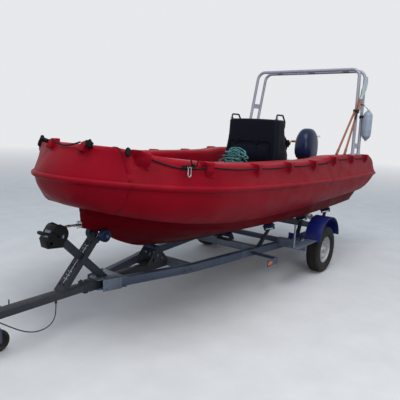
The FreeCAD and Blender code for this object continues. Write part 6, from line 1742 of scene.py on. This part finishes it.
def winch():
    """The winch: its cheeks and covers, its toothed drum, crank and wound strap."""
    x, z, cheek_out = 4.960, 0.850, 0.0515
    cheek = arc_points((x - 0.066, z - 0.060), (x - 0.104, z + 0.010), (x - 0.058, z + 0.074), 14)
    cheek += arc_points((x - 0.030, z + 0.089), (x + 0.006, z + 0.084), (x + 0.022, z + 0.068), 8)
    cheek += [(x + 0.088, z - 0.024), (x + 0.072, z - 0.088), (x - 0.050, z - 0.100)]
    cheek = [(ahead + STERN, up) for ahead, up in cheek]
    body = Form()
    for side in SIDES:
        plate = Form().prism(cheek, side * cheek_out, side * 0.0475)
        spot = at(x + 0.052, 0, z - 0.048)
        hole = Form().rod(spot + Vector((0, side * 0.03, 0)), spot + Vector((0, side * 0.08, 0)), 0.013, 20)
        body.merge(plate.without(hole).rounded(0.0012))
    # The floor, the hood over the top and the apron at the front, each with its half width.
    for half, outline in (
            (0.0475, ((-0.052, -0.100), (0.072, -0.088), (0.071, -0.083), (-0.050, -0.095))),
            (0.0565, ((0.092, -0.026), (0.026, 0.072), (0.004, 0.088), (0.001, 0.083), (0.021, 0.068),
                      (0.087, -0.028))),
            (0.0475, ((0.092, -0.026), (0.078, -0.090), (0.072, -0.088), (0.087, -0.028)))):
        body.plate([(x + ahead, z + up) for ahead, up in outline], -half, half)
    for u, v in ((-0.062, -0.030), (-0.020, 0.070), (0.060, -0.070)):
        body.rod(at(x + u, -cheek_out, z + v), at(x + u, cheek_out, z + v), 0.006, 14)
        for side in SIDES:
            body.bolt(at(x + u, side * cheek_out, z + v), (0, side, 0), 0.0065)
    body.piece("winch_cheeks", "winch", "root", "winch_frame", 38)
    label = Form().plate([(x - 0.030, z - 0.012), (x - 0.062, z + 0.004), (x - 0.060, z - 0.034)],
                         cheek_out, 0.0530, 0.0006)
    label.box((0.0004, -0.030, 0.028), (0.0012, 0.036, 0.086),
              bar_frame((x + 0.0925, z - 0.024), (x + 0.028, z + 0.071)))
    label.piece("winch_grey_plate", "pale zinc")
    form = Form()
    middle = at(x, 0, z)
    for y in (-0.044, 0.039):
        form.spun([(y, 0.0125), (y, 0.060), (y + 0.001, 0.062), (y + 0.004, 0.062), (y + 0.005, 0.060),
                   (y + 0.005, 0.0125)], middle, (0, 1, 0), 48, closed=True)
    teeth = []
    count = 34
    for k in range(count):
        for share, radius in ((0, 0.053), (0.18, 0.053), (0.32, 0.0605), (0.58, 0.0605), (0.72, 0.053)):
            ahead, up = polar(2 * math.pi * (k + share) / count, radius)
            teeth.append((middle.x + ahead, middle.z + up))
    form.prism(teeth, 0.0445, 0.0505)
    form.rod(middle + Vector((0, -0.058, 0)), middle + Vector((0, 0.100, 0)), 0.0115, 24, 0.001)
    crank = Matrix.Translation(middle) @ Matrix.Rotation(-math.radians(20), 4, "Y")
    arm = Form().prism([(-0.013, -0.013), (0.200, -0.011), (0.203, 0), (0.200, 0.011), (-0.013, 0.013)],
                       0.077, 0.084)
    form.merge(arm.rounded(0.0015).moved(crank))
    form.merge(Form().bolt((0, 0.084, 0), (0, 1, 0), 0.011).moved(crank))
    form.merge(Form().spun([(0.082, 0.006), (0.084, 0.013), (0.092, 0.0155), (0.130, 0.0155), (0.148, 0.014),
                            (0.152, 0.010)], (0.190, 0, 0), (0, 1, 0), 28).moved(crank))
    form.piece("winch_drum_and_crank", "winch", "winch_drum", "winch_drum", 38)
    half = [(-0.025, 0.013), (-0.026, 0.036), (-0.024, 0.0385)]
    wound = Form().spun(mirror_profile(half), middle, (0, 1, 0), 40, closed=True)
    wound.piece("wound_strap", "webbing", "winch_drum")


def winch_strap():
    """The taut strap from the drum to the hook in the bow eye."""
    eye, z = 4.715, 0.897
    start = eye + 0.066
    path = [at(start + 0.010, 0, z), at(start + 0.060, 0, z + 0.0005), at(4.900, 0, z - 0.001),
            at(4.957, 0, z - 0.0015)]
    form = Form().strip(evenly(path, 12), 0.048, 0.0028, (0, 0, 1))
    for y in (-0.017, 0.017):
        for k in range(7):
            aft = start + 0.014 + 0.007 * k
            form.box(at(aft, y - 0.001, z + 0.001), at(aft + 0.004, y + 0.001, z + 0.0024))
    form.strip(evenly([at(start + 0.008, 0, z + 0.0026), at(start + 0.075, 0, z + 0.0026)], 3), 0.046, 0.0024,
               (0, 0, 1))
    form.piece("bow_strap", "webbing", "root", "winch_strap")
    hook = Form().rod(at(eye, -0.021, z), at(eye, 0.021, z), 0.0068, 18, 0.0015)
    for side in SIDES:
        hook.pipe(bend([at(eye, side * 0.0165, z), at(eye + 0.040, side * 0.0165, z),
                        at(eye + 0.066, side * 0.0235, z)], 0.02, 6), 0.0045, 12)
        hook.spun([(-0.002, 0.0095), (0.003, 0.0095)], at(eye, side * 0.0165, z), (0, side, 0), 18)
    hook.rod(at(eye + 0.066, -0.026, z), at(eye + 0.066, 0.026, z), 0.0050, 16, 0.001)
    hook.piece("bow_strap_hook", "lead")
    link = Form()
    for side in SIDES:
        link.rod(at(eye + 0.078, side * 0.027, z + 0.003), at(eye + 0.120, side * 0.027, z + 0.003),
                 0.0035, 12)
    for reach in (0.078, 0.120):
        link.rod(at(eye + reach, -0.027, z + 0.003), at(eye + reach, 0.027, z + 0.003), 0.0035, 12)
    link.piece("strap_link", "steel")


# Jockey wheel and lead

def jockey():
    """The jockey wheel on its tube, leg and fork."""
    softened("jockey_tube", "jockey_outer_tube", "zinc", 0.002, segments=2)
    softened("jockey_leg", "jockey_inner_leg", "pale zinc", 0.001)
    softened("jockey_fork", "jockey_wheel_fork", "zinc", 0.002)
    middle = at(5.365, -0.115, 0.085)
    half = [(-0.025, PIN_RADIUS), (-0.025, 0.018), (-0.010, 0.024), (-0.008, 0.054), (-0.019, 0.060),
            (-0.023, 0.064), (-0.023, 0.076), (-0.019, 0.082), (-0.012, 0.0845), (-0.0105, 0.082),
            (-0.0085, 0.082), (-0.007, 0.085)]
    form = roller(Form(), middle, (0, 1, 0), half, (), 56)
    for angle in angles(6):
        turn = Matrix.Translation(middle) @ Matrix.Rotation(angle, 4, "Y")
        for way in (1, -1):
            low, high = sorted((way * 0.0075, way * 0.016))
            form.box((0.022, low, -0.002), (0.056, high, 0.002), turn)
    form.piece("jockey_small_wheel", "tyre", "jockey_wheel", "jockey_wheel", 40)


def plug():
    """The lead's plug: a grip with finger ridges, a collar nut and the body that meets the socket."""
    profile = [(0, 0.0062), (0, 0.0085), (0.012, 0.0115), (0.018, 0.017)]
    for k in range(4):
        profile += [(0.021 + 0.007 * k, 0.0205), (0.0245 + 0.007 * k, 0.0205), (0.0255 + 0.007 * k, 0.0185)]
    profile += [(0.052, 0.0205), (0.056, 0.021), (0.078, 0.021), (0.080, 0.020)]
    form = Form().spun(profile, at(5.560, 0.064, 0.353), (1, 0, 0), 32)
    form.block(at(5.600, 0.058, 0.3715), at(5.636, 0.070, 0.3735), 0.0008)
    return form.piece("lead_end_plug", "lead", "root", "lead_plug")


BODY_OF = {node: body for node, thing in frame["nodes"].items()
           for body, holder in frame["bodies"].items() if thing.parent == holder}


def softened(node, name, finish, width, extra=None, segments=2):
    """A CAD node's own shape with its edges rounded over, joined with what else is on it."""
    form = Form().node(node).rounded(width, segments=segments)
    if extra:
        form.merge(extra)
    return form.piece(name, finish, BODY_OF[node], node)


# Cords

LEAD_ROUTE = [
    (4.956, 0.020, 0.295), (4.956, 0.020, 0.243), (4.976, 0.036, 0.192), (5.020, 0.052, 0.156),
    (5.085, 0.063, 0.141), (5.162, 0.070, 0.146), (5.238, 0.077, 0.173), (5.308, 0.083, 0.215),
    (5.373, 0.086, 0.262), (5.434, 0.082, 0.308), (5.496, 0.064, 0.353), (5.560, 0.064, 0.353),
]
HEAP_X, HEAP_Y, HEAP_FOOT, HEAP_HALF_X, HEAP_HALF_Y, HEAP_RISE = 2.560, 0.060, 1.301, 0.130, 0.205, 0.240


def cord_curve(name, route, diameter, finish):
    """A cord as one smooth NURBS line with a round section."""
    data = bpy.data.curves.new(name, "CURVE")
    data.dimensions = "3D"
    data.bevel_depth = diameter / 2
    data.bevel_resolution = 3
    data.resolution_u = 6
    data.use_fill_caps = True
    spline = data.splines.new("NURBS")
    spline.points.add(len(route) - 1)
    for point, place in zip(spline.points, route):
        point.co = (*place, 1)
    spline.order_u = 3
    spline.use_endpoint_u = True
    thing = linked(name, data)
    data.materials.append(FINISHES[finish])
    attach(thing, "root")
    return thing


def curve_length(thing):
    """The length of a cord's own line."""
    bare = thing.data.copy()
    bare.bevel_depth = 0
    draft = linked("draft", bare)
    graph = bpy.context.evaluated_depsgraph_get()
    mesh = bpy.data.meshes.new_from_object(draft.evaluated_get(graph))
    ends = [[mesh.vertices[i].co for i in edge.vertices] for edge in mesh.edges]
    bpy.data.objects.remove(draft)
    return sum((b - a).length for a, b in ends)


def rope_heap_route():
    """Loose turns of rope thrown down in a heap, each of its own size, place and tilt."""
    route = []
    turns, per_turn = 15, 13
    for k in range(turns * per_turn):
        up = k / (turns * per_turn)
        turn = k // per_turn
        draw = random.Random(40 + turn)
        size = draw.uniform(0.55, 1.0) * (1 - 0.45 * up ** 2)
        lean_x, lean_y = draw.uniform(-0.9, 0.9), draw.uniform(-0.75, 0.75)
        off_x, off_y = draw.uniform(-0.030, 0.030), draw.uniform(-0.075, 0.075) * (1 - 0.5 * up)
        angle = 2 * math.pi * k / per_turn + 0.4 * turn
        wave = 1 + 0.16 * math.sin(3 * angle + 2 * turn)
        x = off_x + HEAP_HALF_X * 0.84 * size * wave * math.cos(angle)
        y = off_y + HEAP_HALF_Y * 0.86 * size * wave * math.sin(angle)
        mound = 1 - 0.75 * (y / HEAP_HALF_Y) ** 2 - 0.3 * (x / HEAP_HALF_X) ** 2
        z = 0.012 + (0.15 + 0.85 * up) * (HEAP_RISE - 0.05) * mound + 0.35 * (lean_x * x + lean_y * y)
        x = max(-HEAP_HALF_X + 0.012, min(HEAP_HALF_X - 0.012, x))
        y = max(-HEAP_HALF_Y + 0.014, min(HEAP_HALF_Y - 0.014, y))
        route.append(at(HEAP_X + x, HEAP_Y + y, HEAP_FOOT + max(0.008, min(HEAP_RISE - 0.012, z))))
    return route


def cords():
    """The lighting lead with its plug and the mooring rope."""
    lead = cord_curve("lead_cable", [at(*p) for p in LEAD_ROUTE], 0.009, "lead")
    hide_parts("lighting_lead")
    end = plug()
    rope = cord_curve("mooring_line", rope_heap_route(), 0.012, "rope")
    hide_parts("mooring_rope")
    curve_length(lead)
    curve_length(rope)


cords()
shell_pieces()
lifelines()
bow_lines()
knobs()
console()
rails_and_helm()
cushion()
arch()
fender()
paddles()
straps()
engine()
for side, word in NAMED_SIDES:
    tyre(side, word)
    rim(side, word)
mudguards()
trailer_frame()
bow_support()
winch()
winch_strap()
jockey()
